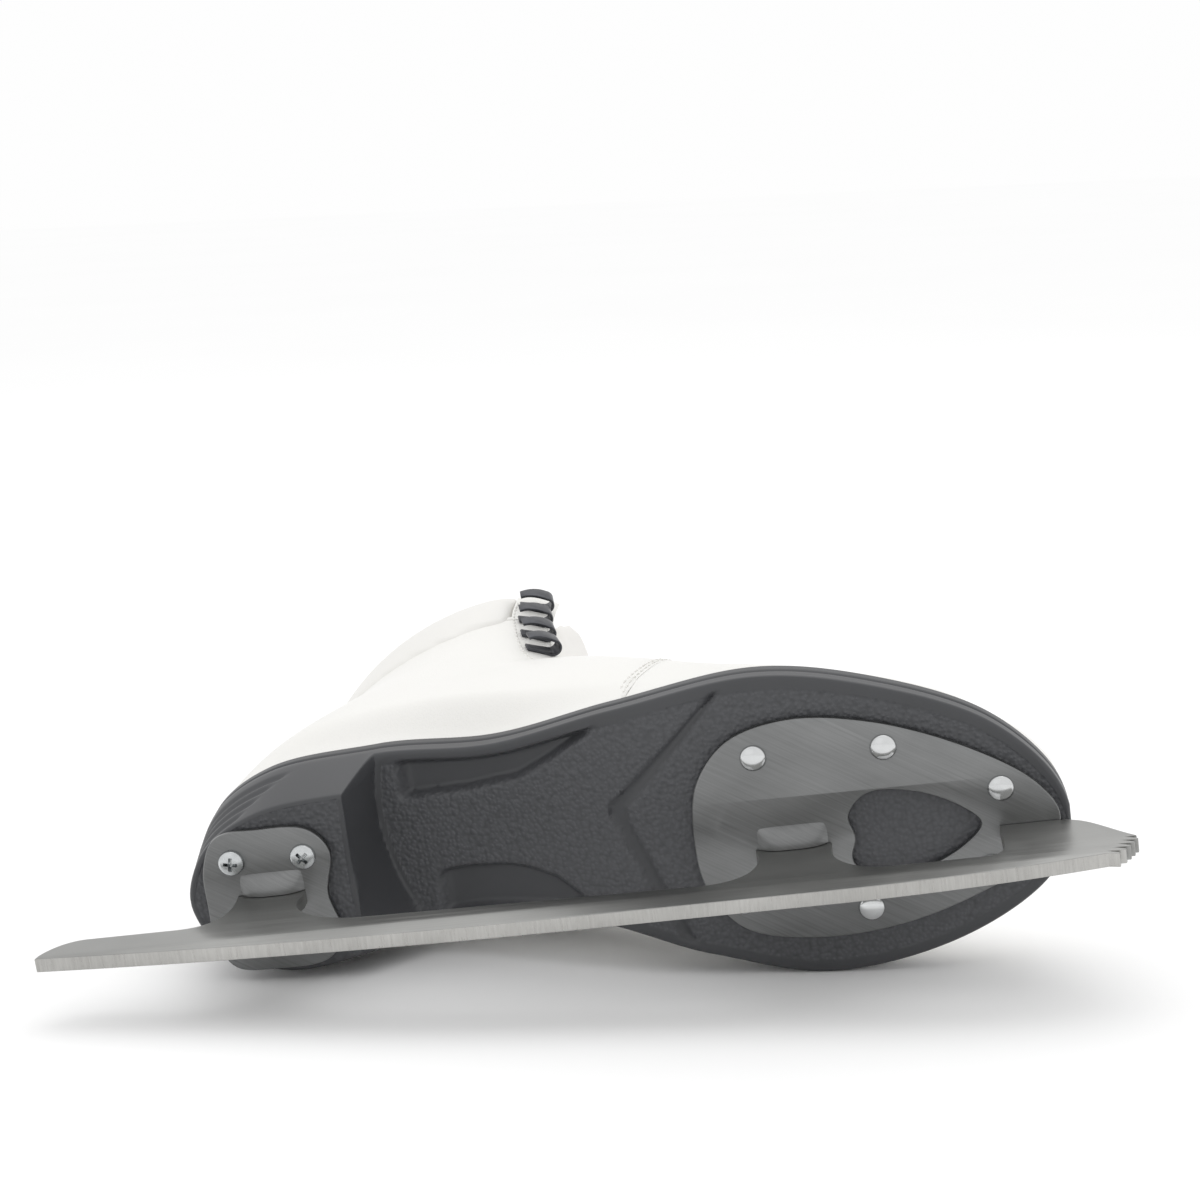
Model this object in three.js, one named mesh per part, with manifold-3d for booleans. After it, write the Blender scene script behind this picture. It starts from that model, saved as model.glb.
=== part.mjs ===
// Right-foot figure skate, lying on its inner side.
// Millimetres.  x runs from the heel to the toe, y from the blade's running edge
// up to the collar, z out of the outer side of the foot.
import * as THREE from 'three';
import { mergeVertices } from 'three/addons/utils/BufferGeometryUtils.js';
import Module from 'manifold-3d';

const wasm = await Module();
wasm.setup();

// ---------------------------------------------------------------- driving sizes
const soleLength = 247.5;
const ballWidth = 87;
const bootHeight = 138;

const plateHeightToe = 34;
const plateHeightHeel = 39.5;
const plateThickness = 2.5;
const bladeThickness = 4;
const bladeTail = 0;
const bladeNose = 296;
const bladeBandTop = 13;
const tailBandTop = 19.3;
const rearRocker = 1320;
const frontRocker = 400;
const pickCount = 5;

const soleThickness = 10;
const heelTopHeight = 72;
const leather = 2.2;
const lining = 2.8;
const tongueThickness = 5;
const collarBand = 19;
const seamGap = 0.4;
const boardTop = 2.6;
const footbedThickness = 3;
const throatSpread = 1;
const innerSpread = 0.86;
const tongueSideGap = 1.8;
const tongueTuck = 6;
const tongueAboveCollar = 18;
const tongueBack = 8;
const foldGap = 0.5;
const facingSeat = 0.45;
const facingMargin = 6.5;
const facingWidth = 14;
const eyeletCount = 5;
const hookCount = 4;

const fit = 0.3;
const lieRoll = 5.8;
const lieYaw = -4.7;

// every length-wise size of the boot follows the sole length, every cross-wise one
// the ball width, and every height above the heel seat the boot height
const along = soleLength / 247.5;
const across = ballWidth / 87;
const upward = bootHeight / 138;
const heelSeat = heelTopHeight;
const soleBottom = plateHeightToe + plateThickness + 2 * fit;
const heelBottom = plateHeightHeel + plateThickness + 2 * fit;
const soleTop = soleBottom + soleThickness;

const X = (value) => value * along;
const Z = (value) => value * across;
const Y = (value) => (value > 74 ? heelSeat + (value - 72) * upward : value - 72 + heelSeat);

// ---------------------------------------------------------------- solid helpers
function solidFromGeometry(geometry) {
  const bare = geometry.index ? geometry.toNonIndexed() : geometry.clone();
  bare.deleteAttribute('normal');
  bare.deleteAttribute('uv');
  const welded = mergeVertices(bare, 1e-4);
  const mesh = new wasm.Mesh({
    numProp: 3,
    vertProperties: new Float32Array(welded.attributes.position.array),
    triVerts: new Uint32Array(welded.index.array),
  });
  return new wasm.Manifold(mesh);
}

function geometryFromSolid(solid) {
  const mesh = solid.getMesh();
  const geometry = new THREE.BufferGeometry();
  const points = new THREE.Float32BufferAttribute(mesh.vertProperties, 3);
  geometry.setAttribute('position', points);
  geometry.setIndex(Array.from(mesh.triVerts));
  geometry.computeVertexNormals();
  return geometry;
}

// closed solid through rings of equal point count, flat caps at both ends
function loft(rings) {
  const count = rings[0].length;
  const positions = [];
  rings.forEach((ring) => ring.forEach((p) => positions.push(p.x, p.y, p.z)));
  const index = [];
  for (let r = 0; r + 1 < rings.length; r += 1) {
    for (let i = 0; i < count; i += 1) {
      const a = r * count + i;
      const b = r * count + ((i + 1) % count);
      index.push(a, b, a + count);
      index.push(b, b + count, a + count);
    }
  }
  const capEnd = (start, forward) => {
    const centre = new THREE.Vector3();
    for (let i = 0; i < count; i += 1) {
      centre.x += positions[3 * (start + i)] / count;
      centre.y += positions[3 * (start + i) + 1] / count;
      centre.z += positions[3 * (start + i) + 2] / count;
    }
    const hub = positions.length / 3;
    positions.push(centre.x, centre.y, centre.z);
    for (let i = 0; i < count; i += 1) {
      const a = start + i;
      const b = start + ((i + 1) % count);
      if (forward) index.push(a, b, hub);
      else index.push(b, a, hub);
    }
  };
  capEnd(0, false);
  capEnd((rings.length - 1) * count, true);
  const geometry = new THREE.BufferGeometry();
  geometry.setAttribute('position', new THREE.Float32BufferAttribute(positions, 3));
  geometry.setIndex(index);
  return outwardSolid(geometry);
}

function signedVolume(geometry) {
  const p = geometry.attributes.position;
  const ids = geometry.index.array;
  const a = new THREE.Vector3();
  const b = new THREE.Vector3();
  const c = new THREE.Vector3();
  let sum = 0;
  for (let i = 0; i < ids.length; i += 3) {
    a.fromBufferAttribute(p, ids[i]);
    b.fromBufferAttribute(p, ids[i + 1]);
    c.fromBufferAttribute(p, ids[i + 2]);
    sum += a.dot(b.cross(c)) / 6;
  }
  return sum;
}

function outwardSolid(geometry) {
  if (signedVolume(geometry) < 0) {
    const ids = geometry.index.array;
    for (let i = 0; i < ids.length; i += 3) {
      const keep = ids[i + 1];
      ids[i + 1] = ids[i + 2];
      ids[i + 2] = keep;
    }
  }
  return solidFromGeometry(geometry);
}

// side-view outline (x, y) made into a slab running from z = low to z = high
function sideSlab(shape, low, high, segments = 6) {
  const settings = { depth: high - low, bevelEnabled: false, curveSegments: segments };
  const geometry = new THREE.ExtrudeGeometry(shape, settings);
  geometry.translate(0, 0, low);
  return solidFromGeometry(geometry);
}

// plan outline (x, z) made into a slab running from y = low to y = high
function planSlab(shape, low, high, segments = 6) {
  const settings = { depth: high - low, bevelEnabled: false, curveSegments: segments };
  const geometry = new THREE.ExtrudeGeometry(shape, settings);
  geometry.rotateX(Math.PI / 2);
  geometry.translate(0, high, 0);
  return solidFromGeometry(geometry);
}

function smoothOutline(points, samples) {
  const curve = new THREE.CatmullRomCurve3(
    points.map(([x, z]) => new THREE.Vector3(x, 0, z)), true, 'centripetal');
  return curve.getSpacedPoints(samples).slice(0, samples).map((p) => new THREE.Vector2(p.x, p.z));
}

// ---------------------------------------------------------------- outsole lines
const soleOutline = smoothOutline([
  [X(34), Z(0)], [X(41), Z(18)], [X(58), Z(28.5)], [X(90), Z(32)], [X(122), Z(33.5)],
  [X(160), Z(44)], [X(200), Z(50.2)], [X(232), Z(44)], [X(262), Z(30.5)], [X(278.5), Z(12)],
  [X(281), Z(-3)], [X(273), Z(-16.5)], [X(248), Z(-31)], [X(212), Z(-37)], [X(180), Z(-28.5)],
  [X(150), Z(-18.5)], [X(118), Z(-18.5)], [X(88), Z(-23.5)], [X(60), Z(-27)], [X(42), Z(-18.5)],
], 64);

// upper edge of the sole in side view: heel seat, shank falling to the ball, toe
const topLine = new THREE.CurvePath();
topLine.add(new THREE.LineCurve(
  new THREE.Vector2(X(20), heelTopHeight), new THREE.Vector2(X(92), heelTopHeight)));
topLine.add(new THREE.CubicBezierCurve(
  new THREE.Vector2(X(92), heelTopHeight), new THREE.Vector2(X(128), heelTopHeight - 2),
  new THREE.Vector2(X(140), soleTop), new THREE.Vector2(X(186), soleTop)));
topLine.add(new THREE.LineCurve(
  new THREE.Vector2(X(186), soleTop), new THREE.Vector2(X(300), soleTop)));

// points of the upper edge raised by a distance, from back to front
function topLinePoints(rise, steps = 9) {
  const shank = topLine.curves[1].getPoints(steps);
  const ends = [topLine.curves[0].v1, ...shank, topLine.curves[2].v2];
  return ends.map((p) => new THREE.Vector2(p.x, p.y + rise));
}

function bandAboveSole(low, high) {
  const under = topLinePoints(low);
  const over = topLinePoints(high).reverse();
  return new THREE.Shape([...under, ...over]);
}

// everything that lies under the boot's seat on the sole
function underSeat(rise) {
  const edge = topLinePoints(rise);
  const first = new THREE.Vector2(edge[0].x, -20);
  const last = new THREE.Vector2(edge[edge.length - 1].x, -20);
  return sideSlab(new THREE.Shape([first, ...edge, last].reverse()), -90, 90);
}

function makeOutsole() {
  const breastFoot = X(83);
  const breastTop = X(91);
  const side = new THREE.Shape();
  side.moveTo(X(20), heelTopHeight);
  side.lineTo(X(20), heelTopHeight - soleThickness);
  side.lineTo(breastTop, heelTopHeight - soleThickness);
  side.bezierCurveTo(
    X(126), heelTopHeight - soleThickness - 3, X(146), soleBottom, X(182), soleBottom);
  side.lineTo(X(300), soleBottom);
  side.lineTo(X(300), soleTop);
  topLinePoints(0).reverse().forEach((p) => side.lineTo(p.x, p.y));
  const runner = planSlab(new THREE.Shape(soleOutline), 20, 90);
  const slab = sideSlab(side, -90, 90, 10).intersect(runner);

  const heelRing = (shrink, front, height) => {
    const ring = [];
    const half = 20;
    for (let i = 0; i <= half; i += 1) {
      const turn = (Math.PI * i) / half;
      const outer = Math.cos(turn);
      const width = outer >= 0 ? Z(31) - shrink : Z(27) - shrink;
      const back = X(34) + shrink * 0.35;
      const reach = X(78) - back;
      const sweep = Math.sign(outer) * Math.abs(outer) ** 0.72;
      const depth = Math.sin(turn) ** 0.82;
      ring.push(new THREE.Vector3(X(78) - reach * depth, height, width * sweep));
    }
    ring.push(new THREE.Vector3(front, height, -(Z(26) - shrink)));
    ring.push(new THREE.Vector3(front, height, Z(31) - shrink));
    return ring;
  };
  const heel = loft([
    heelRing(4.2 * across, breastFoot, heelBottom),
    heelRing(0.6 * across, breastTop, heelTopHeight - soleThickness + 1),
  ]);
  return slab.add(heel);
}

// ---------------------------------------------------------------- blade and plates
function makeBlade() {
  const heelRear = X(50);
  const heelFront = X(69.3);
  const midRear = X(195.5);
  const midFront = X(216.2);
  const toeRear = X(261.5);
  const plateFront = X(279);
  const nose = X(bladeNose);
  const tail = X(bladeTail);
  const rearFlat = X(150);
  const frontFlat = X(215);
  const rearEdge = (x) => ((rearFlat - x) ** 2) / (2 * rearRocker * along);
  const frontEdge = (x) => ((x - frontFlat) ** 2) / (2 * frontRocker * along);
  const shape = new THREE.Shape();
  const pickFoot = X(287.5);
  shape.moveTo(tail, rearEdge(tail));
  for (let i = 1; i <= 8; i += 1) {
    const x = tail + ((rearFlat - tail) * i) / 8;
    shape.lineTo(x, rearEdge(x));
  }
  shape.lineTo(frontFlat, 0);
  for (let i = 1; i <= 6; i += 1) {
    const x = frontFlat + ((pickFoot - frontFlat) * i) / 6;
    shape.lineTo(x, frontEdge(x));
  }
  // saw-like toe picks climbing the front of the blade
  const firstY = frontEdge(pickFoot);
  const lastY = 17.5;
  const climb = (lastY - firstY) / pickCount;
  for (let i = 0; i < pickCount; i += 1) {
    const lean = (i / (pickCount - 1)) ** 0.8;
    const tipX = pickFoot + X(2.8) + lean * (nose - pickFoot - X(2.8));
    const innerX = tipX - X(2.9);
    shape.lineTo(tipX, firstY + climb * (i + 0.1) - 1.2);
    shape.lineTo(tipX + X(0.2), firstY + climb * (i + 0.45) - 1.2);
    shape.lineTo(innerX, firstY + climb * (i + 1) - 0.6);
  }
  shape.lineTo(nose, lastY - 0.4);
  shape.bezierCurveTo(
    X(291), 22, X(286), plateHeightToe - 3, X(281.5), plateHeightToe - 1.2);
  shape.lineTo(plateFront, plateHeightToe);
  shape.lineTo(toeRear, plateHeightToe);
  shape.lineTo(toeRear, bladeBandTop + 6);
  shape.quadraticCurveTo(toeRear, bladeBandTop, toeRear - 6, bladeBandTop);
  shape.lineTo(midFront + 16, bladeBandTop);
  shape.bezierCurveTo(
    midFront + 6, bladeBandTop, midFront, bladeBandTop + 8, midFront, plateHeightToe - 6);
  shape.lineTo(midFront, plateHeightToe);
  shape.lineTo(midRear, plateHeightToe);
  shape.bezierCurveTo(
    midRear + 2.4, plateHeightToe - 9, midRear, bladeBandTop, midRear - 14, bladeBandTop - 0.6);
  shape.lineTo(heelFront + 22, bladeBandTop + 2.2);
  shape.bezierCurveTo(
    heelFront + 6, bladeBandTop + 2.2, heelFront - 4, bladeBandTop + 13,
    heelFront, plateHeightHeel - 4);
  shape.lineTo(heelFront, plateHeightHeel);
  shape.lineTo(heelRear, plateHeightHeel);
  shape.bezierCurveTo(
    heelRear + 1, plateHeightHeel - 10, heelRear - 1, tailBandTop, heelRear - 13, tailBandTop);
  shape.lineTo(tail + 12, tailBandTop);
  shape.bezierCurveTo(
    tail + 7, tailBandTop - 0.2, tail + 3, tailBandTop - 3.5, tail + 0.5, rearEdge(tail) + 2);
  return sideSlab(shape, -bladeThickness / 2, bladeThickness / 2, 5);
}

const solePlateOutline = smoothOutline([
  [X(179.2), Z(6)], [X(181.5), Z(22)], [X(191), Z(33.5)], [X(208), Z(38)], [X(230), Z(35)],
  [X(254), Z(25.5)], [X(272), Z(13.5)], [X(278), Z(3.5)], [X(274), Z(-6.5)], [X(256), Z(-16.5)],
  [X(232), Z(-24)], [X(208), Z(-25.2)], [X(190), Z(-20.5)], [X(181), Z(-8)],
], 44);

const windowOutline = smoothOutline([
  [X(221.5), Z(9)], [X(227), Z(14.8)], [X(240), Z(14)], [X(252), Z(8.3)], [X(256.8), Z(3)],
  [X(252), Z(-2.5)], [X(240), Z(-8.2)], [X(227), Z(-9)], [X(221.5), Z(-4)], [X(222.8), Z(2.5)],
], 26);

function plateRib(startX, endX, height) {
  // pressed welt that grips the stanchion, on the outer side only
  const shape = new THREE.Shape();
  const side = bladeThickness / 2 + fit;
  shape.moveTo(startX, side);
  shape.lineTo(endX, side);
  shape.quadraticCurveTo(endX - 1, side + Z(4.8), endX - 5, side + Z(5));
  shape.lineTo(startX + 5, side + Z(5));
  shape.quadraticCurveTo(startX + 1, side + Z(4.8), startX, side);
  return planSlab(shape, height - 2.2, height + 1, 4);
}

function makeSolePlate() {
  const low = plateHeightToe + fit;
  const slab = planSlab(new THREE.Shape(solePlateOutline), low, low + plateThickness);
  const window = planSlab(new THREE.Shape(windowOutline), low - 5, low + 5);
  return slab.subtract(window).add(plateRib(X(196), X(215.6), low));
}

function makeHeelPlate() {
  const low = plateHeightHeel + fit;
  const outline = smoothOutline([
    [X(41), Z(0)], [X(41.6), Z(11)], [X(46), Z(19.2)], [X(58), Z(20.8)], [X(72.5), Z(19.4)],
    [X(77.8), Z(12.5)], [X(75.5), Z(0)], [X(77.8), Z(-12.5)], [X(72.5), Z(-19.4)],
    [X(58), Z(-20.8)], [X(46), Z(-19.2)], [X(41.6), Z(-11)],
  ], 36);
  const plate = planSlab(new THREE.Shape(outline), low, low + plateThickness - fit);
  return plate.add(plateRib(X(51), X(69.5), low));
}

// a domed head under a plate, its crown towards the ice
function headSolid(radius, rise) {
  const points = [new THREE.Vector2(0, 0)];
  points.push(new THREE.Vector2(radius, 0));
  points.push(new THREE.Vector2(radius, rise * 0.3));
  points.push(new THREE.Vector2(radius * 0.82, rise * 0.72));
  points.push(new THREE.Vector2(radius * 0.5, rise * 0.94));
  points.push(new THREE.Vector2(0, rise));
  const geometry = new THREE.LatheGeometry(points, 12);
  geometry.rotateX(Math.PI);
  return geometry;
}

// ---------------------------------------------------------------- boot form
// Each station is one cross-section of the boot: its foot-side point, its
// instep-side point, the widths to the outer and inner side, and how full it is.
const collarRise = 176;
const stations = [
  { foot: [279, 44], instep: [279.4, 56], outer: 8, inner: 9, shift: 2, belly: 0.3,
    full: 2.2, flat: 3, tuck: 3, throat: 4 },
  { foot: [276, 39], instep: [277, 66], outer: 14, inner: 14, shift: 1, belly: 0.35,
    full: 2.2, flat: 4, tuck: 4, throat: 4 },
  { foot: [268, 38], instep: [268, 76], outer: 23, inner: 19, shift: 0, belly: 0.35,
    full: 2.2, flat: 5, tuck: 5, throat: 5 },
  { foot: [250, 38], instep: [250, 84.5], outer: 33.5, inner: 28, shift: 0, belly: 0.35,
    full: 2.2, flat: 5, tuck: 5, throat: 6 },
  { foot: [226, 38], instep: [226, 88.5], outer: 41.5, inner: 34, shift: 0, belly: 0.35,
    full: 2.1, flat: 5, tuck: 5, throat: 7 },
  { foot: [203, 38], instep: [204, 93.5], outer: 45.5, inner: 36, shift: 0, belly: 0.35,
    full: 2.05, flat: 5, tuck: 5, throat: 8.5 },
  { foot: [182, 38], instep: [186, 102], outer: 46, inner: 32.5, shift: 0, belly: 0.4,
    full: 2.15, flat: 4.4, tuck: 4, throat: 11.5 },
  { foot: [155, 42], instep: [171, 113.5], outer: 45.5, inner: 30.5, shift: 0, belly: 0.44,
    full: 2.5, flat: 3.2, tuck: 2.4, throat: 17.5 },
  { foot: [120, 53], instep: [160, 124.5], outer: 43.5, inner: 30.5, shift: 0, belly: 0.48,
    full: 2.7, flat: 2.7, tuck: 2, throat: 22.5 },
  { foot: [80, 60], instep: [154, 134], outer: 41, inner: 31.5, shift: 0, belly: 0.5,
    full: 2.8, flat: 2.6, tuck: 2.3, throat: 25.5 },
  { foot: [40, 65], instep: [151, 141.5], outer: 38.5, inner: 32, shift: 0, belly: 0.52,
    full: 2.8, flat: 2.2, tuck: 2.5, throat: 27 },
  { foot: [35, 90], instep: [148.5, 148.5], outer: 37, inner: 32.5, shift: 0, belly: 0.56,
    full: 2.7, flat: 1.75, tuck: 2.3, throat: 28 },
  { foot: [39, 112], instep: [146.5, 156], outer: 36.5, inner: 33, shift: 0, belly: 0.62,
    full: 2.6, flat: 1.6, tuck: 2.1, throat: 29.2 },
  { foot: [49, 134], instep: [145, 165], outer: 37, inner: 33.5, shift: 0, belly: 0.64,
    full: 2.6, flat: 1.6, tuck: 2, throat: 31.2 },
  { foot: [57, 156], instep: [144, 177], outer: 38, inner: 35, shift: 0, belly: 0.66,
    full: 2.6, flat: 1.7, tuck: 1.9, throat: 33.5 },
  { foot: [61, 176], instep: [144, 190], outer: 39.5, inner: 37, shift: 0, belly: 0.68,
    full: 2.6, flat: 1.85, tuck: 1.85, throat: 35 },
  { foot: [64, 198], instep: [146, 211], outer: 40.5, inner: 38.5, shift: 0, belly: 0.68,
    full: 2.6, flat: 1.85, tuck: 1.85, throat: 36 },
];
const collarStation = 15;
const lastStation = 16;

function blend(list, at) {
  const i = Math.min(Math.floor(at), list.length - 2);
  const f = at - i;
  const p0 = list[Math.max(i - 1, 0)];
  const p1 = list[i];
  const p2 = list[i + 1];
  const p3 = list[Math.min(i + 2, list.length - 1)];
  const a = 2 * p1;
  const b = (p2 - p0) * f;
  const c = (2 * p0 - 5 * p1 + 4 * p2 - p3) * f * f;
  const d = (3 * p1 - p0 - 3 * p2 + p3) * f * f * f;
  return (a + b + c + d) / 2;
}

const footX = stations.map((s) => X(s.foot[0]));
const footY = stations.map((s) => Y(s.foot[1]));
const instepX = stations.map((s) => X(s.instep[0]));
const instepY = stations.map((s) => Y(s.instep[1]));
const outerWidth = stations.map((s) => Z(s.outer));
const innerWidth = stations.map((s) => Z(s.inner));
const shiftZ = stations.map((s) => Z(s.shift));
const belly = stations.map((s) => s.belly);
const full = stations.map((s) => s.full);
const flat = stations.map((s) => s.flat);
const tuck = stations.map((s) => s.tuck);
const throatWidth = stations.map((s) => Z(s.throat));

// point on the boot's outer skin; turn = 0 on the instep, half a turn at the heel side,
// positive turns on the outer side of the foot
function skinPoint(at, turn) {
  const foot = new THREE.Vector2(blend(footX, at), blend(footY, at));
  const top = new THREE.Vector2(blend(instepX, at), blend(instepY, at));
  const c = Math.cos(turn);
  const s = Math.sin(turn);
  const under = s >= 0 ? blend(flat, at) : blend(tuck, at);
  const power = 2 / (c >= 0 ? blend(full, at) : under);
  const waist = blend(belly, at);
  const share = Math.abs(c) ** power;
  const level = c >= 0 ? waist + (1 - waist) * share : waist - waist * share;
  const half = s >= 0 ? blend(outerWidth, at) : blend(innerWidth, at);
  const z = blend(shiftZ, at) + Math.sign(s) * half * Math.abs(s) ** power;
  const p = foot.lerp(top, level);
  return new THREE.Vector3(p.x, p.y, z);
}

function skinNormal(at, turn) {
  const h = 0.02;
  const low = Math.max(at - h, 0);
  const high = Math.min(at + h, lastStation);
  const alongRun = skinPoint(high, turn).sub(skinPoint(low, turn));
  const roundRun = skinPoint(at, turn + h).sub(skinPoint(at, turn - h));
  return alongRun.cross(roundRun).normalize();
}

// a point sunk below the skin by a depth (negative depths stand proud)
function sunkPoint(at, turn, depth) {
  return skinPoint(at, turn).addScaledVector(skinNormal(at, turn), -depth);
}

// turn at which the section is a given distance from the boot's middle line
function turnAtWidth(at, distance, side) {
  const half = side > 0 ? blend(outerWidth, at) : blend(innerWidth, at);
  const share = Math.min(Math.abs(distance) / half, 0.999);
  return side * Math.asin(share ** (blend(full, at) / 2));
}

const ringCount = 28;
const ringTurns = [];
for (let i = 0; i < ringCount; i += 1) ringTurns.push((2 * Math.PI * (i + 0.5)) / ringCount);

function skinRing(at, depth) {
  return ringTurns.map((turn) => sunkPoint(at, turn, depth));
}

// solid boot form, its skin sunk by a depth, up to a station
function bootForm(depth, lastAt) {
  const rings = [];
  const toeRing = skinRing(0.12, depth);
  const centre = toeRing.reduce((sum, p) => sum.add(p), new THREE.Vector3()).divideScalar(ringCount);
  rings.push(toeRing.map((p) => {
    const q = centre.clone().lerp(p, 0.45);
    q.x = toeRing.reduce((m, r) => Math.max(m, r.x), 0) + 0.6 - depth * 0.2;
    return q;
  }));
  rings.push(toeRing);
  for (let at = 0.5; at < lastAt - 0.3; at += at < 3 ? 0.5 : 0.7) rings.push(skinRing(at, depth));
  rings.push(skinRing(lastAt, depth));
  return loft(rings);
}

// ---------------------------------------------------------------- cutting shapes
// open throat between the two rows of eyelets and hooks
const throatStart = 5.9;
function throatHalf(at, side) {
  const spread = side > 0 ? throatSpread : throatSpread * innerSpread;
  return blend(throatWidth, at) * spread;
}

function throatCutter(grow) {
  const rings = [];
  for (let at = throatStart; at <= lastStation; at += 0.4) {
    const outerHalf = throatHalf(at, 1) + grow;
    const innerHalf = throatHalf(at, -1) + grow;
    const middle = blend(shiftZ, at);
    const level = (share) => {
      const foot = new THREE.Vector2(blend(footX, at), blend(footY, at));
      return foot.lerp(new THREE.Vector2(blend(instepX, at), blend(instepY, at)), share);
    };
    const near = level(0.6);
    const far = level(1.25);
    rings.push([
      new THREE.Vector3(near.x, near.y, middle - innerHalf),
      new THREE.Vector3(far.x, far.y, middle - innerHalf),
      new THREE.Vector3(far.x, far.y, middle + outerHalf),
      new THREE.Vector3(near.x, near.y, middle + outerHalf),
    ]);
  }
  return loft(rings);
}

// turn reached by walking outward over the leather from the throat's edge
function facingTurn(at, side, distance) {
  let turn = turnAtWidth(at, throatHalf(at, side), side);
  let walked = 0;
  let last = skinPoint(at, turn);
  while (walked < distance) {
    turn += side * 0.01;
    const next = skinPoint(at, turn);
    walked += next.distanceTo(last);
    last = next;
  }
  return turn;
}

// wedge of the boot that holds both facings, out to a distance from the throat's edge
function facingSector(distance) {
  const rings = [];
  for (let at = 9; at <= lastStation; at += 0.7) {
    const foot = new THREE.Vector2(blend(footX, at), blend(footY, at));
    const hub = foot.lerp(new THREE.Vector2(blend(instepX, at), blend(instepY, at)), 0.5);
    const ring = [new THREE.Vector3(hub.x, hub.y, blend(shiftZ, at))];
    const from = facingTurn(at, -1, distance);
    const to = facingTurn(at, 1, distance);
    for (let k = 0; k <= 6; k += 1) ring.push(sunkPoint(at, from + ((to - from) * k) / 6, -14));
    rings.push(ring);
  }
  return loft(rings);
}

// seam between the vamp and the quarters, leaning forward up to the throat
function vampSide(offset) {
  const shape = new THREE.Shape();
  shape.moveTo(X(158) + offset, 20);
  shape.lineTo(X(162) + offset, soleTop);
  shape.quadraticCurveTo(X(172) + offset, Y(78), X(190) + offset, Y(112));
  shape.lineTo(X(190) + offset, Y(160));
  shape.lineTo(X(330), Y(160));
  shape.lineTo(X(330), 20);
  return sideSlab(shape, -90, 90, 6);
}

// seam line under the padded collar band, in side view
function collarSide(drop) {
  const shape = new THREE.Shape();
  const back = Y(collarRise) - collarBand - drop;
  shape.moveTo(X(20), back - 8);
  shape.quadraticCurveTo(X(80), back - 14, X(128), back + 11);
  shape.lineTo(X(150), back + 33);
  shape.lineTo(X(220), Y(260));
  shape.lineTo(X(20), Y(260));
  return sideSlab(shape, -90, 90, 6);
}

// ---------------------------------------------------------------- boot pieces
function skinLayer(outerDepth, innerDepth) {
  const outer = bootForm(outerDepth, collarStation);
  const inner = bootForm(innerDepth, lastStation);
  return outer.subtract(inner).subtract(underSeat(fit + 0.1));
}

function halfSpace(positive, gap) {
  const shape = new THREE.Shape([
    new THREE.Vector2(-50, -50), new THREE.Vector2(400, -50),
    new THREE.Vector2(400, 300), new THREE.Vector2(-50, 300),
  ]);
  return positive ? sideSlab(shape, gap, 120) : sideSlab(shape, -120, -gap);
}

const backSeam = seamGap / 2;
const leatherLayer = skinLayer(0, leather);
const liningLayer = skinLayer(leather + fit, leather + fit + lining);
const throat = throatCutter(0);
const vamp = leatherLayer.intersect(vampSide(seamGap / 2));
// the padded band stops short of the facings that carry the hooks
const bandZone = collarSide(0).subtract(facingSector(facingWidth));
const bandRoom = collarSide(seamGap).subtract(facingSector(facingWidth - seamGap));
const quarters = leatherLayer
  .subtract(vampSide(-seamGap / 2))
  .subtract(bandRoom)
  .subtract(throat);
const outerQuarter = quarters.intersect(halfSpace(true, backSeam));
const innerQuarter = quarters.intersect(halfSpace(false, backSeam));
const liningSolid = liningLayer.subtract(throatCutter(0.6)).subtract(bandRoom);

const collarOuter = bootForm(-1.6, collarStation);
const collarInner = bootForm(leather + lining + fit + 2.5, lastStation);
const collar = collarOuter
  .subtract(collarInner)
  .intersect(bandZone);

// strip up the back of the heel that covers the quarters' seam
function makeBackstay() {
  const rings = [];
  const low = 10.15;
  const high = 12.5;
  const steps = 10;
  for (let i = 0; i <= steps; i += 1) {
    const at = low + ((high - low) * i) / steps;
    const half = 0.36 - 0.1 * (i / steps);
    const ring = [];
    for (let k = 0; k <= 6; k += 1) {
      ring.push(sunkPoint(at, Math.PI - half + (2 * half * k) / 6, -1.8));
    }
    for (let k = 6; k >= 0; k -= 1) {
      ring.push(sunkPoint(at, Math.PI - half + (2 * half * k) / 6, -0.6));
    }
    rings.push(ring);
  }
  return loft(rings).subtract(underSeat(fit + 0.1));
}

// tongue strip under the throat, cut across at the ankle fold
const tongueDepth = leather + fit + lining + 0.5;
const tongueTop = collarStation + tongueAboveCollar / 24;
const foldStation = 10.6;

function tongueRings(from, to, steps, sideRoom) {
  const rings = [];
  for (let i = 0; i <= steps; i += 1) {
    const at = from + ((to - from) * i) / steps;
    const outerHalf = throatHalf(at, 1) - sideRoom;
    const innerHalf = throatHalf(at, -1) - sideRoom;
    const left = Math.max(0, tongueTop - at) / (tongueTop - collarStation + 0.3);
    const rounding = left < 1 ? 0.45 + 0.55 * Math.sqrt(1 - (1 - left) ** 2) : 1;
    const outerTurn = turnAtWidth(at, outerHalf * rounding, 1);
    const innerTurn = turnAtWidth(at, innerHalf * rounding, -1);
    const ring = [];
    for (let k = 0; k <= 6; k += 1) {
      ring.push(sunkPoint(at, innerTurn + ((outerTurn - innerTurn) * k) / 6, tongueDepth));
    }
    for (let k = 6; k >= 0; k -= 1) {
      const turn = innerTurn + ((outerTurn - innerTurn) * k) / 6;
      ring.push(sunkPoint(at, turn, tongueDepth + tongueThickness));
    }
    rings.push(ring);
  }
  return loft(rings);
}

const foldPoint = sunkPoint(foldStation, 0, tongueDepth - 1);
const foldLine = sunkPoint(foldStation + 0.3, 0, tongueDepth).sub(
  sunkPoint(foldStation - 0.3, 0, tongueDepth));
const foldAngle = Math.atan2(foldLine.y, foldLine.x);

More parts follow.
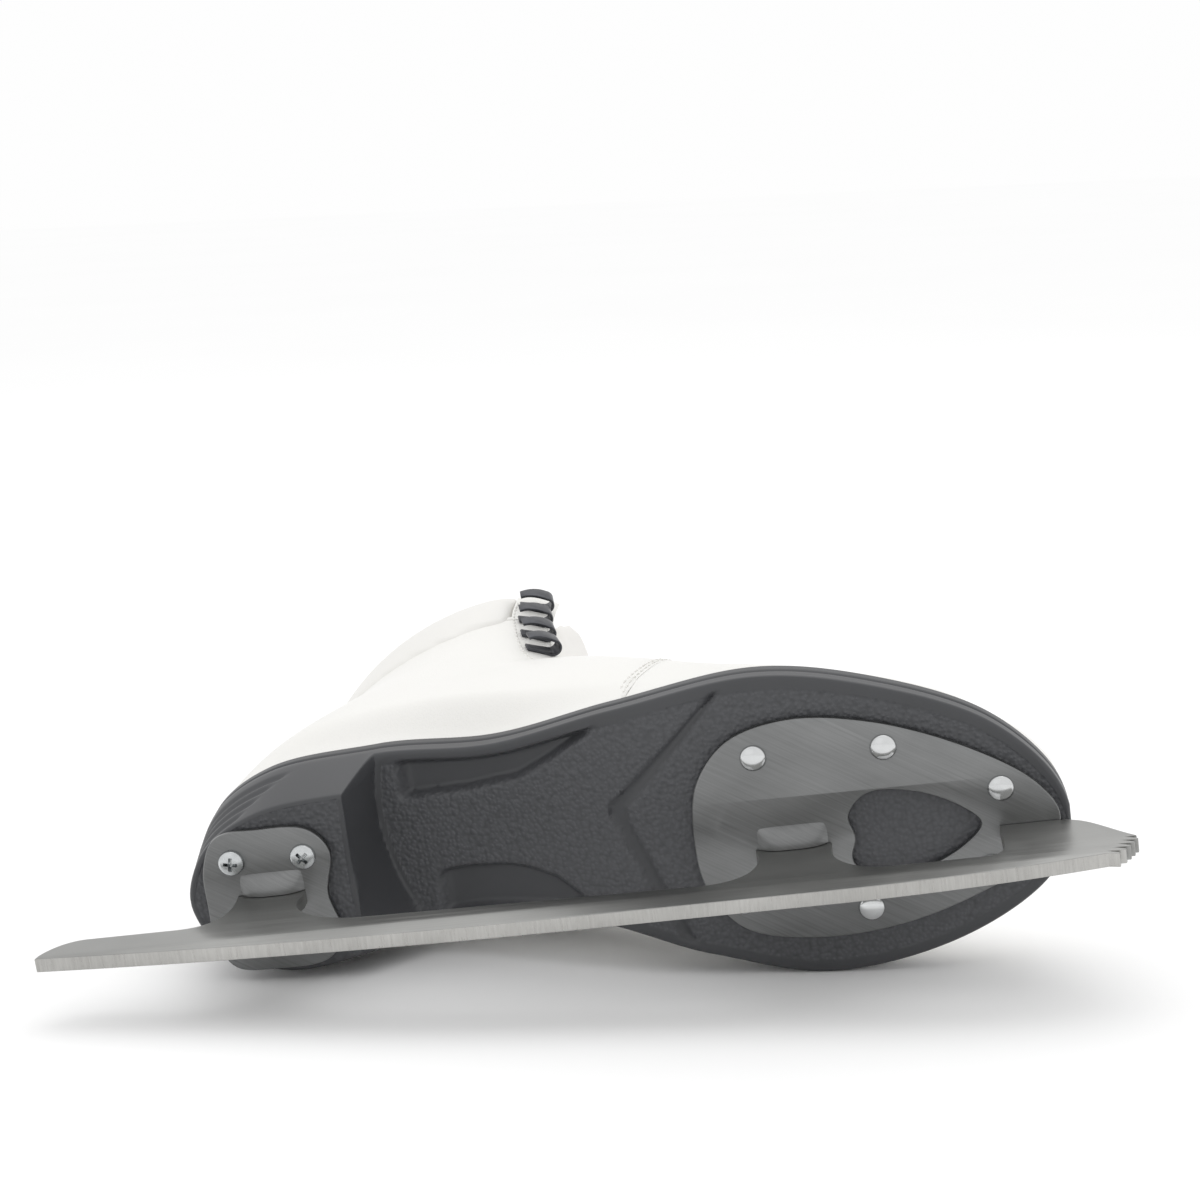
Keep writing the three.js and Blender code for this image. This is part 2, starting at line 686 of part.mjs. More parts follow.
// side-view half above or below the fold, its edge running from the fold line into the
// boot; the upper edge leans away so that the upper tongue can swing back a little
function foldHalf(above) {
  const reach = 80;
  const into = foldAngle + Math.PI / 2;
  const swing = above ? THREE.MathUtils.degToRad(tongueBack + 1) : 0;
  const side = above ? 1 : -1;
  const point = (angle, length, from) => new THREE.Vector2(
    from.x + length * Math.cos(angle), from.y + length * Math.sin(angle));
  const start = point(foldAngle, (side * foldGap) / 2, foldPoint);
  const deep = point(into - swing, reach, start);
  const proud = point(into, -reach, start);
  const shape = new THREE.Shape([
    proud, start, deep, point(foldAngle, side * 120, deep), point(foldAngle, side * 120, proud),
  ]);
  return sideSlab(shape, -80, 80);
}

const lowerTongue = tongueRings(5.2, foldStation + 0.4, 9, -tongueTuck)
  .intersect(foldHalf(false));
const upperTongue = tongueRings(foldStation - 0.4, tongueTop, 11, tongueSideGap)
  .intersect(foldHalf(true));

// ---------------------------------------------------------------- metal fittings
const screwHeadRadius = 3.7;
const rivetHeadRadius = 3.65;
const shankRadius = 1.9;
const shankDepth = 9;
const heelScrewSpots = [[50, 12.2], [70.3, 11.9], [50, -12.2], [70.3, -11.9]];
const soleRivetSpots = [
  [197.9, 28.4], [232.9, 27.6], [262.9, 12.6], [225, -17.9], [190.5, -12.5], [258.5, -9.6],
];

function placedHead(spot, plateLow, radius, rise) {
  const head = solidFromGeometry(headSolid(radius, rise));
  const shank = new THREE.CylinderGeometry(shankRadius, shankRadius, shankDepth, 8);
  shank.translate(0, shankDepth / 2 - 0.1, 0);
  return head.add(solidFromGeometry(shank)).translate([X(spot[0]), plateLow - 0.15, Z(spot[1])]);
}

// round holes for the shanks of a row of screws or rivets
function shankHoles(spots, low) {
  return spots.map((spot) => {
    const hole = new THREE.CylinderGeometry(
      shankRadius + fit, shankRadius + fit, shankDepth + 3, 8);
    hole.translate(X(spot[0]), low + (shankDepth + 3) / 2 - 2, Z(spot[1]));
    return solidFromGeometry(hole);
  });
}

const without = (solid, holes) => holes.reduce((left, hole) => left.subtract(hole), solid);

// eyelet: a rolled ring standing on the leather
function eyeletGeometry() {
  const ring = [[2.3, 0], [4, 0], [3.3, 0.8], [2.5, 0.8], [2.3, 0]];
  return new THREE.LatheGeometry(ring.map(([r, h]) => new THREE.Vector2(r, h)), 10);
}

// lace hook: a flat foot, a rising bend on the throat side and a lip over the foot
function hookGeometry() {
  const width = 6;
  const shape = new THREE.Shape();
  shape.moveTo(-2.9, 0);
  shape.lineTo(5.2, 0);
  shape.lineTo(5.2, 0.8);
  shape.lineTo(-2.4, 0.8);
  shape.absarc(-2.4, 2.7, 1.9, -Math.PI / 2, Math.PI / 2, true);
  shape.lineTo(2.4, 4.8);
  shape.lineTo(6.2, 3.7);
  shape.lineTo(6.5, 4.5);
  shape.lineTo(2.4, 5.7);
  shape.lineTo(-2.4, 5.5);
  shape.absarc(-2.4, 2.7, 2.8, Math.PI / 2, Math.PI * 1.28, false);
  const settings = { depth: width, bevelEnabled: false, curveSegments: 4 };
  const geometry = new THREE.ExtrudeGeometry(shape, settings);
  geometry.translate(0, 0, -width / 2);
  return geometry;
}

// station a share of the way along the facing, measured over the leather
function evenStation(from, to, share) {
  const steps = 60;
  const lengths = [0];
  let last = skinPoint(from, 0.6);
  for (let i = 1; i <= steps; i += 1) {
    const next = skinPoint(from + ((to - from) * i) / steps, 0.6);
    lengths.push(lengths[i - 1] + next.distanceTo(last));
    last = next;
  }
  const goal = share * lengths[steps];
  const i = Math.max(1, lengths.findIndex((length) => length >= goal - 1e-6));
  const part = (goal - lengths[i - 1]) / (lengths[i] - lengths[i - 1]);
  return from + ((to - from) * (i - 1 + part)) / steps;
}

// stands a fitting on the leather beside the throat
function onFacing(geometry, at, side) {
  const turn = facingTurn(at, side, facingMargin);
  const seat = sunkPoint(at, turn, -facingSeat);
  const normal = skinNormal(at, turn);
  const away = skinPoint(at, turn + side * 0.02).sub(skinPoint(at, turn)).normalize();
  away.addScaledVector(normal, -away.dot(normal)).normalize();
  const run = away.clone().cross(normal);
  const place = new THREE.Matrix4().makeBasis(away, normal, run).setPosition(seat);
  return solidFromGeometry(geometry.clone().applyMatrix4(place));
}

// ---------------------------------------------------------------- insoles
function seatSheet(low, high) {
  const inside = bootForm(leather + fit + lining + seamGap, collarStation);
  return sideSlab(bandAboveSole(low, high), -90, 90).intersect(inside);
}

// ---------------------------------------------------------------- assembly
const material = (color, roughness, metalness) => (
  new THREE.MeshStandardMaterial({ color, roughness, metalness }));

const skate = new THREE.Group();
skate.name = 'skate';

function addNode(name, solid, color, roughness, metalness) {
  const mesh = new THREE.Mesh(geometryFromSolid(solid), material(color, roughness, metalness));
  mesh.name = name;
  skate.add(mesh);
  return mesh;
}

const outsole = without(makeOutsole(), [
  ...shankHoles(heelScrewSpots, plateHeightHeel), ...shankHoles(soleRivetSpots, plateHeightToe),
]);
addNode('outsole', outsole, 0x45464a, 0.7, 0);
addNode('insole_board', seatSheet(fit + 0.1, boardTop), 0xb59a72, 0.9, 0);
addNode('footbed', seatSheet(boardTop + fit, boardTop + fit + footbedThickness), 0xd9d9d6, 0.9, 0);
addNode('blade', makeBlade(), 0xb9bcc0, 0.35, 1);
const solePlate = without(makeSolePlate(), shankHoles(soleRivetSpots, plateHeightToe));
const heelPlate = without(makeHeelPlate(), shankHoles(heelScrewSpots, plateHeightHeel));
addNode('sole_plate', solePlate, 0x8f9295, 0.4, 1);
addNode('heel_plate', heelPlate, 0x8f9295, 0.4, 1);
heelScrewSpots.forEach((spot, i) => {
  const low = plateHeightHeel + fit;
  addNode(`heel_screw_${i + 1}`, placedHead(spot, low, screwHeadRadius, 2.1), 0xc9ccd0, 0.35, 1);
});
soleRivetSpots.forEach((spot, i) => {
  const low = plateHeightToe + fit;
  addNode(`sole_rivet_${i + 1}`, placedHead(spot, low, rivetHeadRadius, 1.9), 0xd2d4d6, 0.25, 1);
});
addNode('vamp', vamp, 0xf3f3f1, 0.5, 0);
addNode('quarter_outer', outerQuarter, 0xf3f3f1, 0.5, 0);
addNode('quarter_inner', innerQuarter, 0xf3f3f1, 0.5, 0);
addNode('lining', liningSolid, 0xe8e6e0, 0.9, 0);
addNode('collar_pad', collar, 0xf1f1ef, 0.55, 0);
addNode('backstay', makeBackstay(), 0xf3f3f1, 0.5, 0);
addNode('tongue_lower', lowerTongue, 0xefefed, 0.6, 0);
addNode('tongue_upper', upperTongue, 0xefefed, 0.6, 0);

const firstEyelet = 6.4;
const lastEyelet = 9.4;
const firstHook = 11.7;
const lastHook = 14.4;
[['outer', 1], ['inner', -1]].forEach(([name, side]) => {
  for (let i = 0; i < eyeletCount; i += 1) {
    const at = evenStation(firstEyelet, lastEyelet, i / (eyeletCount - 1));
    const solid = onFacing(eyeletGeometry(), at, side);
    addNode(`eyelet_${name}_${i + 1}`, solid, 0x8d9094, 0.35, 1);
  }
  for (let i = 0; i < hookCount; i += 1) {
    const at = evenStation(firstHook, lastHook, i / (hookCount - 1));
    const solid = onFacing(hookGeometry(), at, side);
    addNode(`hook_${name}_${i + 1}`, solid, 0x4a4c50, 0.45, 1);
  }
});

// marks the line on which the upper tongue folds
const foldMark = new THREE.Object3D();
foldMark.name = 'tongue_fold';
foldMark.position.copy(foldPoint);
skate.add(foldMark);

// the skate lies on the inner edge of its sole and on the inner side of its boot
skate.rotation.set(THREE.MathUtils.degToRad(lieRoll), THREE.MathUtils.degToRad(lieYaw), 0);
skate.updateMatrixWorld(true);
const reach = new THREE.Box3().setFromObject(skate, true);
skate.position.set(
  -(reach.min.x + reach.max.x) / 2, -(reach.min.y + reach.max.y) / 2, -reach.min.z);
skate.updateMatrixWorld(true);

const row = new THREE.Group();
row.name = 'figure_skate';
row.add(skate);


export default row;
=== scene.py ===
"""A right-foot figure skate lying on its inner side on a pale floor.

Shapes are worked out in the skate's own axes, in millimetres: x from the tail of the
blade to the toe, y from the running edge up to the collar, z out of the outer side.
"""
import math

import bmesh
import bpy
import numpy as np
from mathutils import Matrix, Vector


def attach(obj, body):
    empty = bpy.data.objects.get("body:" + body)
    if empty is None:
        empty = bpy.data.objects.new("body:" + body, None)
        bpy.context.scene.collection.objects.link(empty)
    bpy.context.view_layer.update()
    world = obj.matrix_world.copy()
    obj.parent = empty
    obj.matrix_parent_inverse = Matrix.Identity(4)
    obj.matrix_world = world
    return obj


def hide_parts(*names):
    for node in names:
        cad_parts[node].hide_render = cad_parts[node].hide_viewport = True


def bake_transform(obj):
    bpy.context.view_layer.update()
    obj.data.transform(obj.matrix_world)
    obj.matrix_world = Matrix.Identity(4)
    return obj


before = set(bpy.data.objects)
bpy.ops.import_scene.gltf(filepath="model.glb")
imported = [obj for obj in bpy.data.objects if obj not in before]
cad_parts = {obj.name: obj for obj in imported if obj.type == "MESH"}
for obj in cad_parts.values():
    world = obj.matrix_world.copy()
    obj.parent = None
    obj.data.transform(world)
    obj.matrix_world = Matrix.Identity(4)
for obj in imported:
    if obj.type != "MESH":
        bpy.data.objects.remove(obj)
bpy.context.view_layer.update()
BOOT = "boot_and_blade"

# ---------------------------------------------------------------- driving sizes, mm
plate_low_toe, plate_low_heel, plate_thickness, clearance = 34.3, 39.8, 2.5, 0.3
blade_thickness, band_top, tail_band_top = 4.0, 13.0, 19.3
rear_rocker, front_rocker, pick_count = 1320.0, 400.0, 5
sole_bottom, heel_bottom, sole_thickness, heel_top = 37.1, 42.6, 10.0, 72.0
sole_top = sole_bottom + sole_thickness
leather, lining_thickness = 2.2, 2.8
throat_start, inner_spread = 5.9, 0.86
tongue_thickness, tongue_tuck, tongue_gap, tongue_above = 5.0, 6.0, 1.8, 18.0
facing_margin, facing_width, eyelet_count, hook_count = 6.5, 14.0, 5, 4
collar_station, last_station, fold_station = 15.0, 16.0, 10.6
first_eyelet, last_eyelet, first_hook, last_hook = 6.4, 9.4, 11.7, 14.4
rivet_radius, rivet_rise, screw_radius, screw_rise = 3.65, 1.9, 3.7, 2.1
heel_screw_spots = [(50, 12.2), (70.3, 11.9), (50, -12.2), (70.3, -11.9)]
sole_rivet_spots = [(197.9, 28.4), (232.9, 27.6), (262.9, 12.6), (225, -17.9), (190.5, -12.5), (258.5, -9.6)]

# ---------------------------------------------------------------- the skate's axes in the frame
lie_roll, lie_yaw = 5.8, -4.7
LIE = Matrix.Rotation(math.radians(lie_roll), 3, "X") @ Matrix.Rotation(math.radians(lie_yaw), 3, "Y")


def skate_matrix():
    """The blade's tail, running edge and middle plane are the zero of the skate's axes."""
    points = np.array([v.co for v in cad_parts["blade"].data.vertices]) @ np.array(LIE)
    low, high = points.min(0), points.max(0)
    zero = Vector((low[0], low[1], (low[2] + high[2]) / 2))
    return Matrix.Translation(LIE @ zero) @ LIE.to_4x4()


SKATE = skate_matrix()

# ---------------------------------------------------------------- camera
camera_place = Vector((0.2353, -0.6542, 0.2651))
camera_yaw, camera_lift, camera_roll, lens_mm = 6.0, 15.2, 8.03, 81.0


def make_camera():
    yaw, lift, roll = (math.radians(a) for a in (camera_yaw, camera_lift, camera_roll))
    right = Vector((math.cos(yaw), math.sin(yaw), 0))
    ahead = Vector((-math.sin(yaw), math.cos(yaw), 0))
    over = Vector((0, 0, 1))
    forward = ahead * math.cos(lift) - over * math.sin(lift)
    up = over * math.cos(lift) + ahead * math.sin(lift)
    across = right * math.cos(roll) - up * math.sin(roll)
    upright = up * math.cos(roll) + right * math.sin(roll)
    turn = Matrix((across, upright, -forward)).transposed()
    data = bpy.data.cameras.new("camera")
    data.lens, data.sensor_width = lens_mm, 36.0
    data.clip_start, data.clip_end = 0.01, 60
    camera = bpy.data.objects.new("camera", data)
    bpy.context.scene.collection.objects.link(camera)
    camera.matrix_world = Matrix.Translation(SKATE @ camera_place) @ (LIE @ turn).to_4x4()
    bpy.context.scene.camera = camera


make_camera()


# ---------------------------------------------------------------- materials
def linear(hex_colour):
    """An sRGB hex colour as linear RGBA."""
    parts = [int(hex_colour[i:i + 2], 16) / 255 for i in (1, 3, 5)]
    return [p / 12.92 if p <= 0.04045 else ((p + 0.055) / 1.055) ** 2.4 for p in parts] + [1.0]


def add(tree, kind, links=None, **settings):
    """One node with its settings; links maps an input's name or number to a socket or value."""
    made = tree.nodes.new(kind)
    for name, value in settings.items():
        setattr(made, name, value)
    for key, value in (links or {}).items():
        if isinstance(value, bpy.types.NodeSocket):
            tree.links.new(value, made.inputs[key])
        else:
            made.inputs[key].default_value = value
    return made


def start_material(name, **shader):
    """A material with one Principled shader; keywords set its sockets, _ for a space."""
    material = bpy.data.materials.new(name)
    material.use_nodes = True
    tree = material.node_tree
    surface = tree.nodes["Principled BSDF"]
    for key, value in shader.items():
        surface.inputs[key.replace("_", " ")].default_value = value
    return material, tree, surface


def stretched(tree, size_mm):
    """Texture space in which one unit is size_mm along each of the skate's axes."""
    place = add(tree, "ShaderNodeTexCoord")
    scale = [1000 / s for s in size_mm]
    return add(tree, "ShaderNodeMapping", {"Vector": place.outputs["Object"], "Scale": scale}).outputs[0]


def noise(tree, size_mm, detail, **more):
    """Cloudy noise with features of about size_mm."""
    links = {"Vector": stretched(tree, size_mm), "Scale": 1.0, "Detail": detail, **more}
    return add(tree, "ShaderNodeTexNoise", links).outputs["Fac"]


def combine(tree, operation, first, second):
    return add(tree, "ShaderNodeMath", {0: first, 1: second}, operation=operation).outputs[0]


def remap(tree, value, start=0.0, end=1.0, low=0.0, high=1.0):
    """A value brought from start..end to low..high."""
    return add(tree, "ShaderNodeMapRange", {"Value": value, "From Min": start, "From Max": end,
                                            "To Min": low, "To Max": high}).outputs[0]


def tones(tree, share, low, high):
    """Two colours mixed, each given as a hex colour or a socket."""
    low, high = (linear(c) if isinstance(c, str) else c for c in (low, high))
    return add(tree, "ShaderNodeMix", {"Factor": share, 6: low, 7: high}, data_type="RGBA").outputs[2]


def bumps(tree, height, strength, depth_mm, under=None):
    """Fine relief; under is a coarser one that it lies on."""
    links = {"Height": height, "Strength": strength, "Distance": depth_mm / 1000}
    if under is not None:
        links["Normal"] = under
    return add(tree, "ShaderNodeBump", links).outputs[0]


def dress(tree, surface, colour, relief, gloss=None):
    """Joins colour, relief and roughness to a material's shader."""
    for name, socket in (("Base Color", colour), ("Normal", relief), ("Roughness", gloss)):
        if socket is not None:
            tree.links.new(socket, surface.inputs[name])


def moulded_rubber():
    """Thermoplastic rubber, injection moulded: dark satin skin with pebbled fields."""
    material, tree, surface = start_material("moulded_thermoplastic_rubber", Specular_IOR_Level=0.5, IOR=1.5)
    field = add(tree, "ShaderNodeAttribute", attribute_name="pebble").outputs["Fac"]
    pebble = add(tree, "ShaderNodeTexVoronoi", {"Vector": stretched(tree, (1.15,) * 3), "Scale": 1.0,
                                                "Randomness": 0.85}, feature="SMOOTH_F1")
    dome = remap(tree, pebble.outputs["Distance"], 0.15, 0.75, 1.0, 0.0)
    rough_field = combine(tree, "MULTIPLY", dome, field)
    smooth_field = tones(tree, noise(tree, (26,) * 3, 4.0), "#38393b", "#424346")
    fine = bumps(tree, noise(tree, (0.5,) * 3, 3.0), 0.25, 0.05)
    dress(tree, surface, tones(tree, rough_field, smooth_field, "#4b4c4f"),
          bumps(tree, rough_field, 0.8, 0.28, fine), remap(tree, field, low=0.42, high=0.5))
    return material


def coated_leather(name, light, shade, grain_mm, depth_mm, rough, crease_mm):
    """Leather split with a white polyurethane coat, embossed with a fine hide grain."""
    material, tree, surface = start_material(name, IOR=1.47, Coat_Weight=0.06, Coat_Roughness=0.35)
    hide = add(tree, "ShaderNodeTexVoronoi", {"Vector": stretched(tree, (grain_mm,) * 3), "Scale": 1.0},
               feature="DISTANCE_TO_EDGE")
    cell = remap(tree, hide.outputs["Distance"], end=0.22)
    crease = noise(tree, (crease_mm, crease_mm * 2.4, crease_mm), 5.0, Roughness=0.6)
    wrinkle = bumps(tree, crease, 0.35, 0.6)
    dress(tree, surface, tones(tree, noise(tree, (55,) * 3, 3.0), light, shade),
          bumps(tree, cell, 0.5, depth_mm, wrinkle),
          remap(tree, crease, low=rough - 0.06, high=rough + 0.08))
    return material


def woven_lining(name, light, shade, thread_mm):
    """Plain-woven polyester: crossing threads, drawn a little coarser than they are."""
    material, tree, surface = start_material(name, Roughness=0.9, Sheen_Weight=0.25, IOR=1.45)
    space = stretched(tree, (thread_mm * math.tau,) * 3)
    weft, warp, rise = (
        add(tree, "ShaderNodeTexWave", {"Vector": space, "Scale": 1.0, "Distortion": wobble,
                                        "Detail": 1.0}, bands_direction=axis).outputs["Fac"]
        for axis, wobble in (("X", 0.5), ("Z", 0.5), ("Y", 0.4)))
    weave = combine(tree, "MULTIPLY", combine(tree, "MAXIMUM", weft, warp), rise)
    dress(tree, surface, tones(tree, weave, shade, light), bumps(tree, weave, 0.6, 0.2))
    return material


def brushed_steel(name, light, shade, size_mm, rough, turn_deg=0.0, scratch_mm=0.02):
    """Stainless steel with a belt-brushed finish: long fine lines, darker and lighter by turns."""
    material, tree, surface = start_material(name, Metallic=1.0, Anisotropic=0.35)
    place = add(tree, "ShaderNodeTexCoord")
    turned = add(tree, "ShaderNodeMapping", {"Vector": place.outputs["Object"],
                                             "Rotation": (0, math.radians(turn_deg), 0)})
    drawn_out = add(tree, "ShaderNodeMapping", {"Vector": turned.outputs[0],
                                                "Scale": [1000 / s for s in size_mm]})
    lines = add(tree, "ShaderNodeTexNoise", {"Vector": drawn_out.outputs[0], "Scale": 1.0, "Detail": 6.0,
                                             "Roughness": 0.7}).outputs["Fac"]
    cloud = noise(tree, (34, 34, 20), 3.0)
    both = add(tree, "ShaderNodeMix", {"Factor": 0.45, 2: lines, 3: cloud}).outputs[0]
    dress(tree, surface, tones(tree, remap(tree, both, 0.3, 0.7), shade, light),
          bumps(tree, lines, 0.5, scratch_mm),
          remap(tree, lines, 0.3, 0.7, rough - 0.07, rough + 0.08))
    return material


def plated_metal(name, light, shade, rough, grain_mm, metallic=1.0):
    """Small stamped or headed fitting with a plated or lacquered skin, lightly mottled."""
    material, tree, surface = start_material(name, Metallic=metallic)
    mottle = noise(tree, (grain_mm,) * 3, 4.0)
    dress(tree, surface, tones(tree, mottle, light, shade), bumps(tree, mottle, 0.2, 0.03),
          remap(tree, mottle, low=rough - 0.08, high=rough + 0.1))
    return material


def pressed_board():
    """Cellulose fibre board: matt tan sheet with short fibres."""
    material, tree, surface = start_material("pressed_fibre_board", Roughness=0.92)
    fibre = noise(tree, (3.0, 0.6, 0.6), 6.0)
    dress(tree, surface, tones(tree, fibre, "#a98d64", "#c4aa80"), bumps(tree, fibre, 0.3, 0.1))
    return material


def twisted_thread():
    """Bonded nylon sewing thread: white with a slight sheen and a visible twist."""
    material, tree, surface = start_material("bonded_nylon_thread", Roughness=0.55, Sheen_Weight=0.2)
    twist = add(tree, "ShaderNodeTexWave", {"Vector": stretched(tree, (2.2,) * 3), "Scale": 1.0,
                                            "Distortion": 1.0}, bands_direction="DIAGONAL").outputs["Fac"]
    dress(tree, surface, tones(tree, twist, "#d9d8d3", "#f1f0ec"), bumps(tree, twist, 0.4, 0.1))
    return material


RUBBER = moulded_rubber()
UPPER_LEATHER = coated_leather("white_coated_upper_leather", "#efeeeb", "#e9e8e4", 1.1, 0.05, 0.40, 16)
COLLAR_LEATHER = coated_leather("white_soft_collar_leather", "#eceae7", "#e4e3df", 0.8, 0.04, 0.46, 9)
TONGUE_LEATHER = coated_leather("white_padded_tongue_leather", "#edebe8", "#e6e4e0", 0.9, 0.04, 0.48, 11)
LINING_WEAVE = woven_lining("woven_polyester_lining", "#eceae4", "#cfccc3", 1.0)
FOOTBED_WEAVE = woven_lining("brushed_footbed_cloth", "#dfded9", "#bcbab3", 1.3)
BOARD = pressed_board()
BLADE_STEEL = brushed_steel("brushed_blade_steel", "#a9a9a7", "#8b8b89", (42, 0.5, 0.5), 0.36)
EDGE_STEEL = brushed_steel("ground_edge_steel", "#c0bfbc", "#9a9996", (0.7, 5, 9), 0.30, scratch_mm=0.03)
PLATE_STEEL = brushed_steel("brushed_plate_steel", "#8e8f8f", "#6d6e6e", (30, 3, 0.5), 0.38, turn_deg=-32)
ZINC = plated_metal("bright_zinc_plate", "#d3d5d6", "#b4b8b9", 0.24, 2.5)
RIVET_STEEL = plated_metal("polished_rivet_steel", "#dcdddd", "#c3c5c6", 0.16, 4)
HOOK_METAL = plated_metal("gunmetal_lacquer", "#55565a", "#3c3d41", 0.32, 1.6, metallic=0.85)
EYELET_METAL = plated_metal("grey_enamelled_brass", "#8e9094", "#74777b", 0.36, 1.6, metallic=0.8)
THREAD = twisted_thread()


# ---------------------------------------------------------------- mesh helpers
def piece(name, points, faces, material, body=BOOT, replaces=(), sharp=35, ride=True):
    """A mesh piece from points in the skate's axes, in mm."""
    mesh = bpy.data.meshes.new(name)
    mesh.from_pydata((np.asarray(points, float) / 1000).tolist(), [], [list(map(int, f)) for f in faces])
    mesh.validate()
    mesh.shade_smooth()
    if sharp:
        mesh.set_sharp_from_angle(angle=math.radians(sharp))
    mesh.materials.append(material)
    made = bpy.data.objects.new(name, mesh)
    bpy.context.scene.collection.objects.link(made)
    made.matrix_world = SKATE
    if ride:
        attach(made, body)
    if replaces:
        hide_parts(*replaces)
    return made


def grid_faces(rows, columns, start=0, ring=False, flip=False):
    """Quads of a rows by columns grid of points; ring joins the last column to the first."""
    faces = []
    for r in range(rows - 1):
        for c in range(columns if ring else columns - 1):
            a = start + r * columns + c
            b = start + r * columns + (c + 1) % columns
            quad = (a, b, b + columns, a + columns)
            faces.append(quad[::-1] if flip else quad)
    return faces


def grid_border(rows, columns):
    """Numbers of the points once round the edge of a grid."""
    cells = np.arange(rows * columns).reshape(rows, columns)
    return np.r_[cells[0, :-1], cells[:-1, -1], cells[-1, :0:-1], cells[:0:-1, 0]]


def apply_modifiers(made):
    """Puts a piece's modifiers into its mesh."""
    graph = bpy.context.evaluated_depsgraph_get()
    mesh = bpy.data.meshes.new_from_object(made.evaluated_get(graph))
    made.modifiers.clear()
    made.data = mesh


def thicken(made, thickness, edge=0.5, segments=2):
    """Gives a skin its thickness, inward, and rounds its cut edges."""
    made.modifiers.new("skin", "SOLIDIFY").thickness = thickness / 1000
    made.modifiers["skin"].offset = -1
    rounding = made.modifiers.new("edge", "BEVEL")
    rounding.width = edge / 1000
    rounding.segments = segments
    rounding.limit_method = "ANGLE"
    rounding.angle_limit = math.radians(50)
    apply_modifiers(made)
    made.data.shade_smooth()
    made.data.set_sharp_from_angle(angle=math.radians(60))


def bezier(p0, p1, p2, p3, count=24):
    t = np.linspace(0, 1, count)[:, None]
    a, b, c, d = (np.asarray(p, float) for p in (p0, p1, p2, p3))
    return (1 - t) ** 3 * a + 3 * (1 - t) ** 2 * t * b + 3 * (1 - t) * t * t * c + t ** 3 * d


def bow(p0, p1, p2, count=12):
    """A curve pulled towards its middle point."""
    t = np.linspace(0, 1, count)[:, None]
    a, b, c = (np.asarray(p, float) for p in (p0, p1, p2))
    return (1 - t) ** 2 * a + 2 * (1 - t) * t * b + t * t * c


def closed_outline(corners, samples):
    """Smooth closed line through plan points (centripetal), evenly spaced."""
    points = np.array(corners, float)
    count = len(points)
    line = []
    for i in range(count):
        p = [points[(i + k - 1) % count] for k in range(4)]
        gap = [max(np.linalg.norm(p[k + 1] - p[k]) ** 0.5, 1e-4) for k in range(3)]
        m1 = ((p[1] - p[0]) / gap[0] - (p[2] - p[0]) / (gap[0] + gap[1]) + (p[2] - p[1]) / gap[1]) * gap[1]
        m2 = ((p[2] - p[1]) / gap[1] - (p[3] - p[1]) / (gap[1] + gap[2]) + (p[3] - p[2]) / gap[2]) * gap[1]
        for t in np.linspace(0, 1, 60, endpoint=False):
            line.append(p[1] + m1 * t + (-3 * p[1] + 3 * p[2] - 2 * m1 - m2) * t * t
                        + (2 * p[1] - 2 * p[2] + m1 + m2) * t ** 3)
    line = np.array(line + line[:1])
    steps = np.r_[0, np.cumsum(np.linalg.norm(np.diff(line, axis=0), axis=1))]
    even = np.linspace(0, steps[-1], samples, endpoint=False)
    return np.c_[np.interp(even, steps, line[:, 0]), np.interp(even, steps, line[:, 1])]


def smooth(t):
    t = np.clip(t, 0, 1)
    return t * t * (3 - 2 * t)


# ---------------------------------------------------------------- the boot's form
# foot x, foot y, instep x, instep y, outer, inner, shift, belly, full, flat, tuck, throat
STATIONS = np.array([
    [279, 44, 279.4, 56, 8, 9, 2, 0.3, 2.2, 3, 3, 4],
    [276, 39, 277, 66, 14, 14, 1, 0.35, 2.2, 4, 4, 4],
    [268, 38, 268, 76, 23, 19, 0, 0.35, 2.2, 5, 5, 5],
    [250, 38, 250, 84.5, 33.5, 28, 0, 0.35, 2.2, 5, 5, 6],
    [226, 38, 226, 88.5, 41.5, 34, 0, 0.35, 2.1, 5, 5, 7],
    [203, 38, 204, 93.5, 45.5, 36, 0, 0.35, 2.05, 5, 5, 8.5],
    [182, 38, 186, 102, 46, 32.5, 0, 0.4, 2.15, 4.4, 4, 11.5],
    [155, 42, 171, 113.5, 45.5, 30.5, 0, 0.44, 2.5, 3.2, 2.4, 17.5],
    [120, 53, 160, 124.5, 43.5, 30.5, 0, 0.48, 2.7, 2.7, 2, 22.5],
    [80, 60, 154, 134, 41, 31.5, 0, 0.5, 2.8, 2.6, 2.3, 25.5],
    [40, 65, 151, 141.5, 38.5, 32, 0, 0.52, 2.8, 2.2, 2.5, 27],
    [35, 90, 148.5, 148.5, 37, 32.5, 0, 0.56, 2.7, 1.75, 2.3, 28],
    [39, 112, 146.5, 156, 36.5, 33, 0, 0.62, 2.6, 1.6, 2.1, 29.2],
    [49, 134, 145, 165, 37, 33.5, 0, 0.64, 2.6, 1.6, 2, 31.2],
    [57, 156, 144, 177, 38, 35, 0, 0.66, 2.6, 1.7, 1.9, 33.5],
    [61, 176, 144, 190, 39.5, 37, 0, 0.68, 2.6, 1.85, 1.85, 35],
    [64, 198, 146, 211, 40.5, 38.5, 0, 0.68, 2.6, 1.85, 1.85, 36],
])


